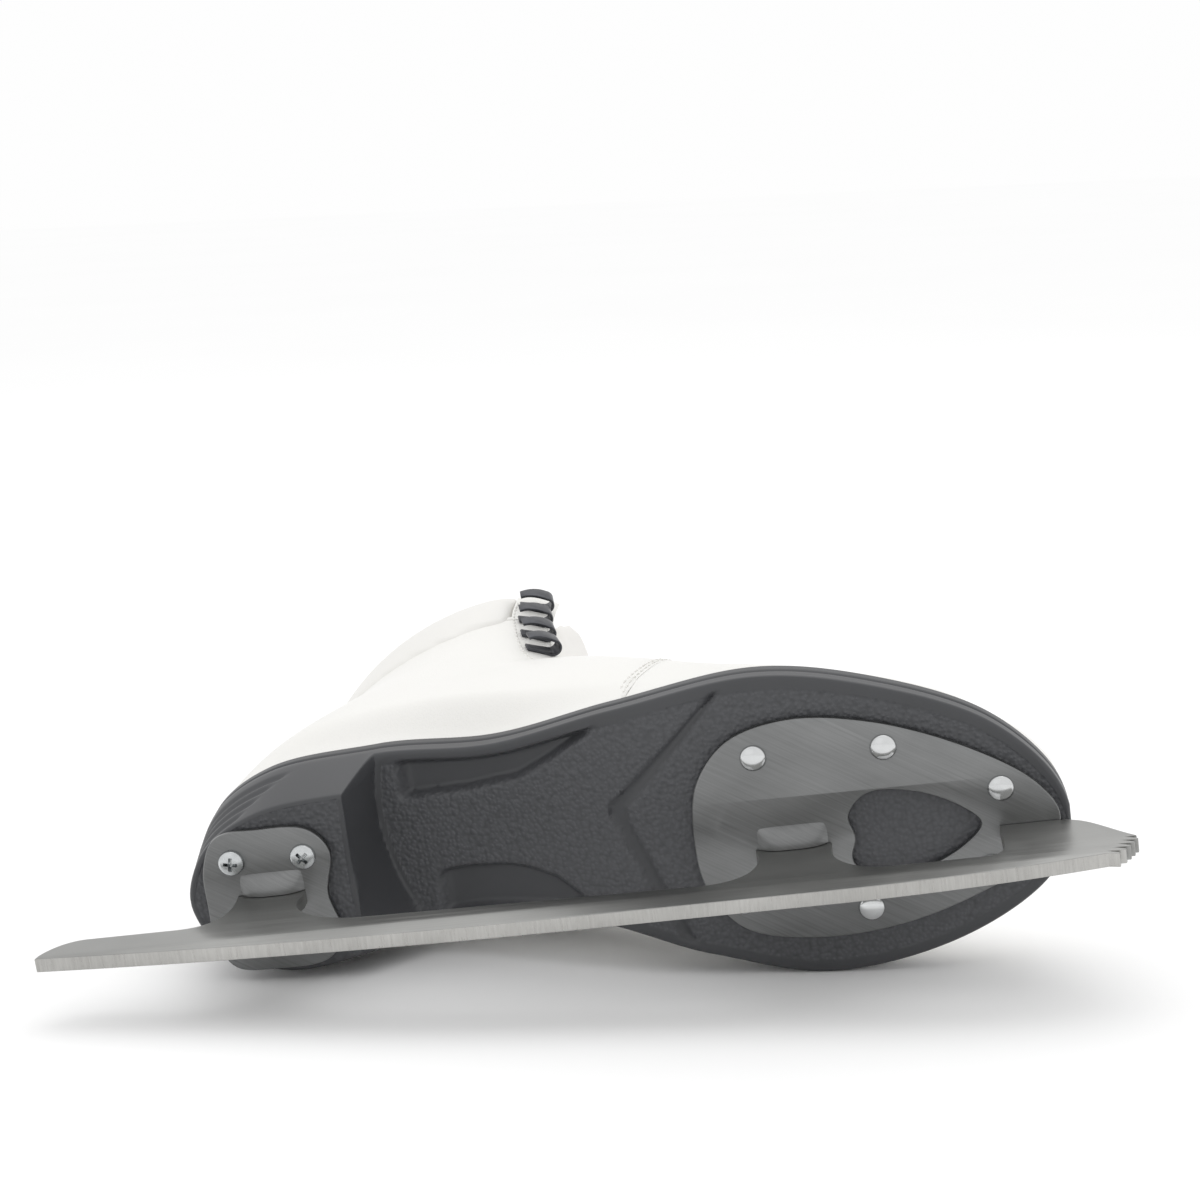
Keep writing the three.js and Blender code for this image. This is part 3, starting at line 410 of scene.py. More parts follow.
SOLE_CORNERS = [
    (34, 0), (41, 18), (58, 28.5), (90, 32), (122, 33.5), (160, 44), (200, 50.2), (232, 44), (262, 30.5),
    (278.5, 12), (281, -3), (273, -16.5), (248, -31), (212, -37), (180, -28.5), (150, -18.5), (118, -18.5),
    (88, -23.5), (60, -27), (42, -18.5)]
sole_line = closed_outline(SOLE_CORNERS, 1200)
SOLE_X = np.arange(34.2, 281, 0.6)
SOLE_OUTER = np.array([sole_line[(np.abs(sole_line[:, 0] - x) < 0.8), 1].max() for x in SOLE_X])
SOLE_INNER = np.array([sole_line[(np.abs(sole_line[:, 0] - x) < 0.8), 1].min() for x in SOLE_X])


def station(at):
    """All twelve sizes of the cross-section at a place along the boot."""
    at = np.asarray(at, float)
    last = len(STATIONS) - 1
    i = np.clip(np.floor(at).astype(int), 0, last - 1)
    f = (at - i)[..., None]
    p0, p1 = STATIONS[np.maximum(i - 1, 0)], STATIONS[i]
    p2, p3 = STATIONS[i + 1], STATIONS[np.minimum(i + 2, last)]
    return (2 * p1 + (p2 - p0) * f + (2 * p0 - 5 * p1 + 4 * p2 - p3) * f ** 2
            + (3 * p1 - p0 - 3 * p2 + p3) * f ** 3) / 2


def skin(at, turn):
    """Points on the boot's outer skin; turn 0 is the instep, positive on the outer side."""
    at, turn = np.broadcast_arrays(np.asarray(at, float), np.asarray(turn, float))
    s = station(at)
    up, side = np.cos(turn), np.sin(turn)
    under = np.where(side >= 0, s[..., 9], s[..., 10])
    power = 2 / np.where(up >= 0, s[..., 8], under)
    share = np.abs(up) ** power
    waist = s[..., 7]
    level = np.where(up >= 0, waist + (1 - waist) * share, waist - waist * share)
    half = np.where(side >= 0, s[..., 4], s[..., 5])
    x = s[..., 0] + (s[..., 2] - s[..., 0]) * level
    y = s[..., 1] + (s[..., 3] - s[..., 1]) * level
    z = s[..., 6] + np.sign(side) * half * np.abs(side) ** power
    # lasted under: close to the sole the leather runs in to the sole's edge
    close = smooth(1 - (y - top_line(x)) / 15)
    z = z - close * np.maximum(z - np.interp(x, SOLE_X, SOLE_OUTER) + 1.3, 0)
    z = z + close * np.maximum(np.interp(x, SOLE_X, SOLE_INNER) + 1.3 - z, 0)
    return np.stack([x, y, z], -1)


def skin_normal(at, turn):
    h = 0.02
    at = np.asarray(at)
    along = skin(np.minimum(at + h, last_station), turn) - skin(np.maximum(at - h, 0), turn)
    around = skin(at, np.asarray(turn) + h) - skin(at, np.asarray(turn) - h)
    normal = np.cross(along, around)
    return normal / np.maximum(np.linalg.norm(normal, axis=-1, keepdims=True), 1e-9)


def sunk(at, turn, depth):
    """A point below the skin by a depth; a negative depth stands proud."""
    return skin(at, turn) - skin_normal(at, turn) * np.asarray(depth, float)[..., None]


def throat_half(at, side):
    """Half the opening between the facings; the inner one is pressed in by the floor."""
    return station(at)[..., 11] * (1 if side > 0 else inner_spread)


def turn_at_width(at, distance, side):
    s = station(at)
    half = s[..., 4] if side > 0 else s[..., 5]
    return side * np.arcsin(np.minimum(abs(distance) / half, 0.999) ** (s[..., 8] / 2))


def throat_turn(at, side):
    return turn_at_width(at, throat_half(at, side), side)


def lengths(points):
    return np.r_[0, np.cumsum(np.linalg.norm(np.diff(points, axis=0), axis=1))]


def facing_turn(at, side, distance):
    """Turn reached by walking over the leather from the throat's edge."""
    start = float(throat_turn(at, side))
    turns = start + side * np.linspace(0, 1.4, 300)
    return float(np.interp(distance, lengths(skin(at, turns)), turns))


shank = bezier((92, heel_top), (128, heel_top - 2), (140, sole_top), (186, sole_top), 60)
under_shank = bezier((91, heel_top - sole_thickness), (126, heel_top - sole_thickness - 3),
                     (146, sole_bottom), (182, sole_bottom), 60)
vamp_seam = np.vstack([[(158, 20)], bow((162, sole_top), (172, 78), (190, 112), 30), [(190, 200)]])
collar_seam = np.vstack([bow((20, 149), (80, 143), (128, 168), 40), [(150, 190), (220, 260)]])


def top_line(x):
    """Height of the sole's upper edge."""
    return np.interp(x, shank[:, 0], shank[:, 1])


def seam_x(y):
    return np.interp(y, vamp_seam[:, 1], vamp_seam[:, 0])


def collar_y(x):
    return np.interp(x, collar_seam[:, 0], collar_seam[:, 1])


def first_exit(inside, low, high, count=500):
    """Where a run of values from low to high first leaves a region."""
    for _ in range(2):
        values = np.linspace(low, high, count)
        out = np.flatnonzero(~inside(values))
        if not len(out):
            return high
        if out[0] == 0:
            return low
        low, high = values[out[0] - 1], values[out[0]]
        count = 40
    return low


def even_turns(at, start, end, count):
    """Turns that space points evenly over the leather."""
    turns = np.linspace(start, end, 240)
    run = lengths(skin(at, turns))
    return np.interp(np.linspace(0, run[-1], count), run, turns)


def sole_turn(at, side, rise=0.05):
    """Turn at which the skin meets the sole."""
    def above(turn):
        p = skin(at, side * turn)
        return p[:, 1] > top_line(p[:, 0]) + rise
    return side * first_exit(above, 0.6, math.pi)


# ---------------------------------------------------------------- outsole and heel
def side_chain(outline, side):
    """One side of the sole's plan line, from the heel tip to the toe tip, with outward normals."""
    first, last = int(outline[:, 0].argmin()), int(outline[:, 0].argmax())
    rolled = np.roll(outline, -first, axis=0)
    stop = (last - first) % len(outline)
    chains = rolled[:stop + 1], np.vstack([rolled[:1], rolled[stop:][::-1]])
    chain = max(chains, key=lambda c: side * c[:, 1].mean())
    run = np.gradient(chain, axis=0)
    normal = np.c_[-run[:, 1], run[:, 0]] * side
    normal /= np.linalg.norm(normal, axis=1, keepdims=True)
    return chain, normal


heel_outset, ramp_foot, groove_drop = 4.2, 83.2, 4.6
outer_hollow_depth, inner_hollow_depth, band_depth = 4.0, 3.0, 1.3
# edges of the hollows as (x, z), then the V band's edges as (z, x)
ridge = np.array([
    (93, 20), (95.8, 16.8), (116.1, 19.4), (131.5, 23.2), (140.9, 28.5), (153.3, 36.6), (163, 45)])
arch = np.array([
    (103, -6), (104.5, -3.3), (112.8, -1.8), (124.9, -0.8), (130.7, -1.4), (138.9, -3.9), (148, -11)])
band_rear = np.array([(-25, 172.7), (-7.6, 165.4), (13.5, 156.4), (17, 156.6), (37.2, 178.3), (50, 191.6)])
band_front = np.array([(-25, 176.8), (-7.8, 170.1), (12.4, 162.1), (16, 162.3), (35.1, 180.5), (50, 194)])


def breast_crease(z):
    return 88.4 + 0.0085 * (z - 15) ** 2


def underside(x, z, outer_z, inner_z):
    """Height of the underside and where its pebbled grain lies."""
    shank_y = np.interp(np.maximum(x, 84), under_shank[:, 0], under_shank[:, 1])
    crease = breast_crease(z)
    climb = np.clip((x - ramp_foot) / (crease - ramp_foot), 0, 1)
    height = np.where(x < crease, heel_bottom + (shank_y - heel_bottom) * climb ** 0.9, shank_y)
    beyond = z - np.interp(x, ridge[:, 0], ridge[:, 1])
    lip = smooth((outer_z - z - 1.6) / 2.4)
    ends = smooth((x - 94.5) / 5) * smooth((163 - x) / 5)
    outer_hollow = smooth(beyond / 2.4) * lip * ends
    below = np.interp(x, arch[:, 0], arch[:, 1]) - z
    inner_lip = smooth((z - inner_z - 1.6) / 2.4)
    inner_hollow = smooth(below / 2.4) * inner_lip * smooth((x - 102) / 5) * smooth((148.5 - x) / 5)
    band = smooth((x - np.interp(z, band_rear[:, 0], band_rear[:, 1])) / 0.9)
    band = band * smooth((np.interp(z, band_front[:, 0], band_front[:, 1]) - x) / 0.9)
    edge = np.minimum(outer_z - z, z - inner_z)
    band = band * smooth((edge - 1.2) / 1.5)
    height = height + outer_hollow_depth * outer_hollow + inner_hollow_depth * inner_hollow
    height = height + band_depth * band
    grain = smooth((edge - 2.2) / 0.8) * (1 - outer_hollow) * (1 - inner_hollow) * (1 - band)
    grain = grain * np.where((x > ramp_foot - 1.5) & (x < crease + 2), 0, 1)
    return height, grain


def wall_inset(x, y, top):
    """How far the side wall lies inside the plan line: heel taper, ribs and the welt groove."""
    taper = np.clip((64.5 - y) / (64.5 - heel_bottom), 0, 1) ** 1.15 * heel_outset * smooth((95 - x) / 10)
    rib_end = 50 + (y - 42) * 0.9
    ribs = (0.5 - 0.5 * np.cos(2 * math.pi * (y - 44.4) / 4.3)) * ((y > 44.4) & (y < 61.6))
    ribs = 0.8 * ribs * smooth((rib_end - x) / 4)
    groove = 0.65 * np.exp(-((top - y - groove_drop) / 0.62) ** 2)
    return taper, ribs + groove


def make_outsole():
    outline = closed_outline(SOLE_CORNERS, 2400)
    turn = np.linspace(0, math.pi, 17)
    xs = np.unique(np.r_[34.05 + 12 * (1 - np.cos(turn / 2)), np.arange(46, 80, 1.1), np.arange(80, 95, 0.5),
                         np.arange(95, 266, 1.0), 280.95 - 15 * (1 - np.cos(turn / 2))].round(3))
    sides = []
    for side in (-1, 1):
        chain, normal = side_chain(outline, side)
        order = np.maximum.accumulate(chain[:, 0] + np.arange(len(chain)) * 1e-9)
        sides.append(np.c_[xs, np.interp(xs, order, chain[:, 1]), np.interp(xs, order, normal[:, 0]),
                           np.interp(xs, order, normal[:, 1])])
    rows, columns = len(xs), 84
    bottom_edge, top_edge, welt_band = 1.1, 0.6, 6.4
    inner, outer = sides
    share = (1 - np.cos(np.linspace(0, math.pi, columns))) / 2 * 0.25 + np.linspace(0, 1, columns) * 0.75
    rim = []
    for line in sides:
        taper, _ = wall_inset(line[:, 0], np.full(rows, heel_bottom), top_line(line[:, 0]))
        shift = taper[:, None] * line[:, 2:] * (0.35, 1) + bottom_edge * line[:, 2:]
        rim.append(line[:, :2] - shift)
    flat = rim[0][:, None] * (1 - share)[None, :, None] + rim[1][:, None] * share[None, :, None]
    x, z = flat[..., 0], flat[..., 1]
    y, grain = underside(x, z, outer[:, 1][:, None] - 1, inner[:, 1][:, None] + 1)
    points = [np.stack([x, y, z], -1).reshape(-1, 3)]
    masks = [grain.reshape(-1)]
    faces = grid_faces(rows, columns)
    # the rim of the underside, once round
    ring = grid_border(rows, columns)
    mixed = inner[:, None] * (1 - share)[None, :, None] + outer[:, None] * share[None, :, None]
    edge = mixed.reshape(-1, 4)[ring]
    low = points[0][ring, 1]
    top = top_line(edge[:, 0])
    rings = []
    for angle in np.linspace(0, math.pi / 2, 5)[1:]:
        rings.append((low + bottom_edge * (1 - math.cos(angle)), bottom_edge * (1 - math.sin(angle))))
    for k in np.linspace(0, 1, 30)[1:]:
        rings.append((low + bottom_edge + (top - welt_band - low - bottom_edge) * k, 0.0))
    for k in np.linspace(0, 1, 15)[1:]:
        rings.append((top - welt_band + (welt_band - top_edge) * k, 0.0))
    for angle in np.linspace(0, math.pi / 2, 4)[1:]:
        rings.append((top - top_edge + top_edge * math.sin(angle), top_edge * (1 - math.cos(angle))))
    loops = [ring]
    for height, pull in rings:
        taper, relief = wall_inset(edge[:, 0], height, top)
        shift = taper[:, None] * edge[:, 2:] * (0.35, 1) + (relief + pull)[:, None] * edge[:, 2:]
        place = edge[:, :2] - shift
        loops.append(np.arange(len(ring)) + sum(len(p) for p in points))
        points.append(np.c_[place[:, 0], height, place[:, 1]])
        masks.append(np.zeros(len(ring)))
    count = len(ring)
    for a, b in zip(loops, loops[1:]):
        for i in range(count):
            j = (i + 1) % count
            faces.append((a[i], b[i], b[j], a[j]))
    # top face: strips between the two sides
    last = loops[-1]
    right = last[columns - 1:columns - 1 + rows - 1]
    left = last[::-1][:rows - 1]
    left = np.r_[last[0], left[:-1]]
    for i in range(rows - 2):
        faces.append((left[i], left[i + 1], right[i + 1], right[i]))
    made = piece("moulded_outsole", np.vstack(points), faces, RUBBER,
                 replaces=["outsole"], sharp=48)
    field = made.data.attributes.new("pebble", "FLOAT", "POINT")
    field.data.foreach_set("value", np.concatenate(masks).astype(np.float32))


make_outsole()


# ---------------------------------------------------------------- blade, plates and their fixings
def filled(outlines, thickness, edge, steps=2):
    """A flat plate from closed outlines, its edges rounded; returns points and faces, middle at zero."""
    data = bpy.data.curves.new("outline", "CURVE")
    data.dimensions = "2D"
    data.fill_mode = "BOTH"
    data.extrude = thickness / 2 - edge
    data.bevel_depth = edge
    data.bevel_resolution = steps
    data.offset = -edge
    for outline in outlines:
        spline = data.splines.new("POLY")
        spline.points.add(len(outline) - 1)
        spline.points.foreach_set("co", np.c_[outline, np.zeros(len(outline)), np.ones(len(outline))].ravel())
        spline.use_cyclic_u = True
    holder = bpy.data.objects.new("outline", data)
    bpy.context.scene.collection.objects.link(holder)
    graph = bpy.context.evaluated_depsgraph_get()
    mesh = bpy.data.meshes.new_from_object(holder.evaluated_get(graph))
    points = np.array([v.co for v in mesh.vertices])
    faces = [list(p.vertices) for p in mesh.polygons]
    bpy.data.objects.remove(holder)
    bpy.data.curves.remove(data)
    bpy.data.meshes.remove(mesh)
    return points, faces


def weld(made, gap=0.02):
    """Joins the points that a filled outline leaves side by side and turns faces outward."""
    work = bmesh.new()
    work.from_mesh(made.data)
    bmesh.ops.remove_doubles(work, verts=work.verts, dist=gap / 1000)
    bmesh.ops.recalc_face_normals(work, faces=work.faces)
    work.to_mesh(made.data)
    work.free()
    made.data.shade_smooth()
    made.data.set_sharp_from_angle(angle=math.radians(24))


def carve(made, name, points, faces, sharp):
    """Cuts a solid, given in the skate's axes in mm, out of a piece."""
    mesh = bpy.data.meshes.new(name)
    mesh.from_pydata((np.asarray(points, float) / 1000).tolist(), [], faces)
    cutter = bpy.data.objects.new(name, mesh)
    bpy.context.scene.collection.objects.link(cutter)
    cutter.matrix_world = SKATE
    weld(cutter)
    cut = made.modifiers.new(name, "BOOLEAN")
    cut.operation, cut.object, cut.solver = "DIFFERENCE", cutter, "EXACT"
    apply_modifiers(made)
    bpy.data.objects.remove(cutter)
    made.data.shade_smooth()
    made.data.set_sharp_from_angle(angle=math.radians(sharp))


blade_length, first_tip, pick_top = 296, 290.3, 17.5
flat_start, flat_end, picks_start = 150, 215, 287.5


def blade_outline():
    """Side outline: rocker, picks, front stanchion, arch, heel stanchion and tail."""
    line = [(x, (flat_start - x) ** 2 / (2 * rear_rocker)) for x in np.linspace(0, flat_start, 30)]
    line += [(x, (x - flat_end) ** 2 / (2 * front_rocker)) for x in np.linspace(flat_end, picks_start, 24)]
    first, last = line[-1][1], pick_top
    climb = (last - first) / pick_count
    for i in range(pick_count):
        tip = first_tip + (i / (pick_count - 1)) ** 0.8 * (blade_length - first_tip)
        line += [(tip, first + climb * (i + 0.1) - 1.2), (tip + 0.2, first + climb * (i + 0.45) - 1.2),
                 (tip - 2.9, first + climb * (i + 1) - 0.6)]
    line += [(blade_length, last - 0.4)]
    line += bezier((blade_length, last - 0.3), (291, 22), (286, 31), (281.5, 32.8))[1:].tolist()
    line += [(279, 34.2), (261.5, 34.2), (261.5, band_top + 6)]
    line += bow((261.5, band_top + 6), (261.5, band_top), (255.5, band_top), 10)[1:].tolist()
    line += bezier((232.2, band_top), (222.2, band_top), (216.2, band_top + 8), (216.2, 28)).tolist()
    line += [(216.2, 34.2), (195.5, 34.2)]
    line += bezier((195.5, 34), (197.9, 25), (195.5, band_top), (181.5, band_top - 0.6))[1:].tolist()
    line += bezier((91.3, 15.2), (75.3, 15.2), (65.3, 26), (69.3, 35.5)).tolist()
    line += [(69.3, 39.7), (50, 39.7)]
    line += bezier((50, 39.5), (51, 29.5), (49, tail_band_top), (37, tail_band_top))[1:].tolist()
    line += bezier((12, tail_band_top), (7, 19.1), (3, 15.8), (0.5, 10.5)).tolist()
    return line


def make_blade():
    points, faces = filled([blade_outline()], blade_thickness, 0.3)
    made = piece("running_blade", points, faces, BLADE_STEEL, replaces=["blade"])
    weld(made)
    made.data.materials.append(EDGE_STEEL)
    for face in made.data.polygons:
        ground = face.normal.y < -0.75 and face.center.y < 0.0095
        face.material_index = 1 if ground else 0


def pressed_tab(start, end, low):
    """Grip pressed out of the plate beside the stanchion, on the outer side."""
    rows, columns = 25, 13
    u, v = np.meshgrid(np.linspace(-1, 1, rows), np.linspace(0, 1, columns), indexing="ij")
    x = (start + end) / 2 + u * (end - start) / 2
    z = blade_thickness / 2 + 0.15 + 6.2 * v
    rise = 3.0 * (1 - np.abs(u) ** 3.2) * np.cos(v * math.pi / 2) ** 0.7
    grid = np.stack([x, low + 0.3 - rise, z], -1).reshape(-1, 3)
    back = np.stack([x, np.full_like(x, low + 1.2), z], -1).reshape(-1, 3)
    count = rows * columns
    ring = grid_border(rows, columns)
    after = np.roll(ring, -1)
    faces = grid_faces(rows, columns) + grid_faces(rows, columns, start=count, flip=True)
    faces += [(a, a + count, b + count, b) for a, b in zip(ring, after)]
    return np.vstack([grid, back]), faces


def make_plate(name, node, outlines, low, tab):
    points, faces = filled(outlines, plate_thickness - 0.15, 0.5)
    points = np.c_[points[:, 0], points[:, 2] + low + plate_thickness / 2, points[:, 1]]
    extra, more = pressed_tab(*tab, low)
    faces += [[v + len(points) for v in face] for face in more]
    made = piece(name, np.vstack([points, extra]), faces, PLATE_STEEL, replaces=[node])
    weld(made)


def lathe(profile, count=36):
    """Points and faces of a turned head; profile runs from the crown to the base as (radius, height)."""
    turns = np.linspace(0, 2 * math.pi, count, endpoint=False)
    points = [(0, profile[0][1], 0)]
    for radius, height in profile[1:]:
        points += [(radius * math.cos(t), height, radius * math.sin(t)) for t in turns]
    rows = len(profile) - 1
    faces = [(0, 1 + (i + 1) % count, 1 + i) for i in range(count)]
    faces += grid_faces(rows, count, start=1, ring=True, flip=True)
    faces.append([1 + (rows - 1) * count + i for i in range(count)])
    return np.array(points, float), faces


def turned_head(name, node, x, z, low, radius, rise, roundness, material):
    """A domed head under a plate, with a short shank that ends inside the plate."""
    wide, deep = roundness
    arc = np.linspace(0, math.pi / 2, 12)
    profile = [(radius * math.sin(a) ** wide, low - rise * math.cos(a) ** deep) for a in arc]
    profile += [(radius, low + 0.15), (radius - 1.2, low + 0.15), (radius - 1.2, low + 1.2)]
    points, faces = lathe(profile)
    made = piece(name, points + (x, 0, z), faces, material, replaces=[node], sharp=40)
    weld(made)
    return made


def make_rivet(index, x, z):
    made = turned_head(f"domed_rivet_{index}", f"sole_rivet_{index}", x, z, plate_low_toe - 0.02,
                       rivet_radius, rivet_rise, (1, 0.9), RIVET_STEEL)
    made.data.set_sharp_from_angle(angle=math.radians(40))


def make_screw(index, x, z):
    low = plate_low_heel - 0.02
    made = turned_head(f"cross_head_screw_{index}", f"heel_screw_{index}", x, z, low,
                       screw_radius, screw_rise, (0.85, 0.55), ZINC)
    a, b = 0.55, 2.25  # half width and half length of the cross's arms
    plus = np.array([
        (a, a), (a, b), (-a, b), (-a, a), (-b, a), (-b, -a),
        (-a, -a), (-a, -b), (a, -b), (a, -a), (b, -a), (b, a)])
    turn = 0.5 + index * 0.9
    spin = np.array([[math.cos(turn), -math.sin(turn)], [math.sin(turn), math.cos(turn)]])
    layers = []
    for height, scale in ((low - screw_rise - 0.6, 1.05), (low - 0.35, 0.5)):
        flat = plus * scale @ spin.T
        layers.append(np.c_[flat[:, 0] + x, np.full(len(plus), height), flat[:, 1] + z])
    corners = len(plus)
    walls = [(i, (i + 1) % corners, (i + 1) % corners + corners, i + corners) for i in range(corners)]
    ends = [list(range(corners))[::-1], list(range(corners, 2 * corners))]
    carve(made, "cross_recess", np.vstack(layers), ends + walls, 35)


make_blade()
sole_plate_line = closed_outline([
    (179.2, 6), (181.5, 22), (191, 33.5), (208, 38), (230, 35), (254, 25.5), (272, 13.5), (278, 3.5),
    (274, -6.5), (256, -16.5), (232, -24), (208, -25.2), (190, -20.5), (181, -8)], 220)
window_line = closed_outline([
    (221.5, 9), (227, 14.8), (240, 14), (252, 8.3), (256.8, 3), (252, -2.5), (240, -8.2), (227, -9),
    (221.5, -4), (222.8, 2.5)], 120)
heel_plate_line = closed_outline([
    (41, 0), (41.6, 11), (46, 19.2), (58, 20.8), (72.5, 19.4), (77.8, 12.5), (75.5, 0), (77.8, -12.5),
    (72.5, -19.4), (58, -20.8), (46, -19.2), (41.6, -11)], 180)
make_plate("forefoot_plate", "sole_plate", [sole_plate_line, window_line], plate_low_toe, (196, 215.6))
make_plate("heel_mount_plate", "heel_plate", [heel_plate_line], plate_low_heel, (51, 69.5))
for number, (x, z) in enumerate(sole_rivet_spots, 1):
    make_rivet(number, x, z)
for number, (x, z) in enumerate(heel_screw_spots, 1):
    make_screw(number, x, z)


# ---------------------------------------------------------------- boot leather
table_at = np.linspace(0, 15.9, 160)
sole_turns = {side: np.array([sole_turn(at, side) for at in table_at]) for side in (-1, 1)}
facing_at = np.linspace(5.9, 15.9, 41)
facing_turns = {side: np.array([facing_turn(at, side, facing_width) for at in facing_at]) for side in (-1, 1)}
seam_gap = 0.2


def make_vamp():
    columns, rows = 121, 62
    lines = []
    for share in np.linspace(-1, 1, columns):
        edge = sole_turns[1 if share >= 0 else -1] * abs(share)
        line = skin(table_at, edge)
        gap = line[:, 0] - seam_x(line[:, 1]) - seam_gap
        i = int(np.flatnonzero(gap < 0)[0])
        end = table_at[i - 1] + (table_at[i] - table_at[i - 1]) * gap[i - 1] / (gap[i - 1] - gap[i])
        ats = end * np.linspace(0, 1, rows) ** 1.3
        lines.append(skin(ats, np.interp(ats, table_at, edge)))
    grid = np.stack(lines, 1)
    middle = np.array([279.9, sole_top + 0.1, 0.8])
    near = middle + (grid[0] - middle) * 0.5 + (0.25, 0, 0)
    core = middle + (grid[0] - middle) * 0.05
    points = np.vstack([core[None], near[None], grid]).reshape(-1, 3)
    made = piece("vamp_leather", points, grid_faces(rows + 2, columns, flip=True), UPPER_LEATHER,
                 replaces=["vamp"], sharp=0)
    thicken(made, leather, 0.45)


def side_rows(side, depth, ats, columns, front):
    """Rows over one side of the boot, from the throat's edge to the sole, a seam or the back."""
    rows = []
    for at in ats:
        start = abs(throat_turn(at, side)) if at >= throat_start else 0.01
        facing = abs(np.interp(at, facing_at, facing_turns[side]))

        def inside(turn):
            p = skin(at, side * turn)
            good = p[:, 1] > top_line(p[:, 0]) + 0.1
            if front:
                good &= p[:, 0] < seam_x(p[:, 1]) - seam_gap
            return good & ((p[:, 1] < collar_y(p[:, 0]) + 6.0) | (turn < facing))

        end = first_exit(inside, start + 1e-4, math.pi - 0.004)
        if end - start > 0.01:
            rows.append(sunk(at, even_turns(at, side * start, side * end, columns), depth))
    return rows


quarter_ats = np.r_[np.arange(6.1, 7.2, 0.06), np.arange(7.2, 13.0, 0.11), np.arange(13.0, 15.0, 0.04), 15.0]


def fitting_place(at, side, distance, lift):
    """Matrix that stands a fitting on the leather: away from the throat, up, along."""
    turn = facing_turn(at, side, distance)
    up = skin_normal(at, turn)
    away = skin(at, turn + side * 0.02) - skin(at, turn)
    away = away - up * np.dot(away, up)
    away /= np.linalg.norm(away)
    place = np.eye(4)
    place[:3, 0], place[:3, 1], place[:3, 2] = away, up, np.cross(away, up)
    place[:3, 3] = skin(at, turn) + up * lift
    return place


def placed(points, place):
    return np.asarray(points, float) @ place[:3, :3].T + place[:3, 3]


def even_station(start, end, share):
    ats = np.linspace(start, end, 121)
    run = lengths(skin(ats, np.full(121, 0.6)))
    return float(np.interp(share * run[-1], run, ats))


eyelet_places = [even_station(first_eyelet, last_eyelet, i / (eyelet_count - 1)) for i in range(eyelet_count)]
hook_places = [even_station(first_hook, last_hook, i / (hook_count - 1)) for i in range(hook_count)]


def make_quarter(name, node, side):
    columns, hole_sides, hole_radius = 76, 20, 2.15
    rows = side_rows(side, 0.0, quarter_ats, columns, True)
    made = piece(name, np.vstack(rows), grid_faces(len(rows), columns, flip=side > 0), UPPER_LEATHER,
                 replaces=[node], sharp=0)
    thicken(made, leather, 0.45)
    # punched lace holes
    turns = np.linspace(0, 2 * math.pi, hole_sides, endpoint=False)
    circle = np.c_[hole_radius * np.cos(turns), np.zeros(hole_sides), hole_radius * np.sin(turns)]
    points, faces = [], []
    for index, at in enumerate(eyelet_places):
        start = index * 2 * hole_sides
        place = fitting_place(at, side, facing_margin, 0)
        points.append(placed(np.vstack([circle - (0, 4, 0), circle + (0, 2, 0)]), place))
        ring = np.arange(start, start + hole_sides)
        after = np.roll(ring, -1)
        faces += [ring.tolist(), (ring + hole_sides)[::-1].tolist()]
        faces += [(a, b, b + hole_sides, a + hole_sides) for a, b in zip(ring.tolist(), after.tolist())]
    carve(made, "lace_holes", np.vstack(points), faces, 50)


def make_lining():
    ats = np.r_[np.arange(1.0, 13.0, 0.2), np.arange(13.0, 15.0, 0.08), 15.0]
    columns, points, faces = 50, [], []
    for side in (-1, 1):
        rows = side_rows(side, leather + clearance, ats, columns, False)
        start = sum(len(p) for p in points)
        points.append(np.vstack(rows))
        faces += grid_faces(len(rows), columns, start=start, flip=side > 0)
    made = piece("woven_boot_lining", np.vstack(points), faces, LINING_WEAVE,
                 replaces=["lining"], sharp=0)
    thicken(made, lining_thickness, 0.6)


def make_backstay():
    count, columns, rows = 34, 22, []
    for i, at in enumerate(np.linspace(10.15, 12.5, count)):
        half = (0.36 - 0.1 * i / (count - 1)) * (1 - 0.5 * smooth((i - 29) / 5))
        turns = np.linspace(math.pi - half, math.pi + half, columns)
        p = sunk(at, np.where(turns > math.pi, turns - 2 * math.pi, turns), -1.35)
        p[:, 1] = np.maximum(p[:, 1], top_line(p[:, 0]) + 0.15)
        rows.append(p)
    made = piece("heel_backstay", np.vstack(rows), grid_faces(count, columns, flip=True), UPPER_LEATHER,
                 replaces=["backstay"], sharp=0)
    thicken(made, 1.25, 0.35)


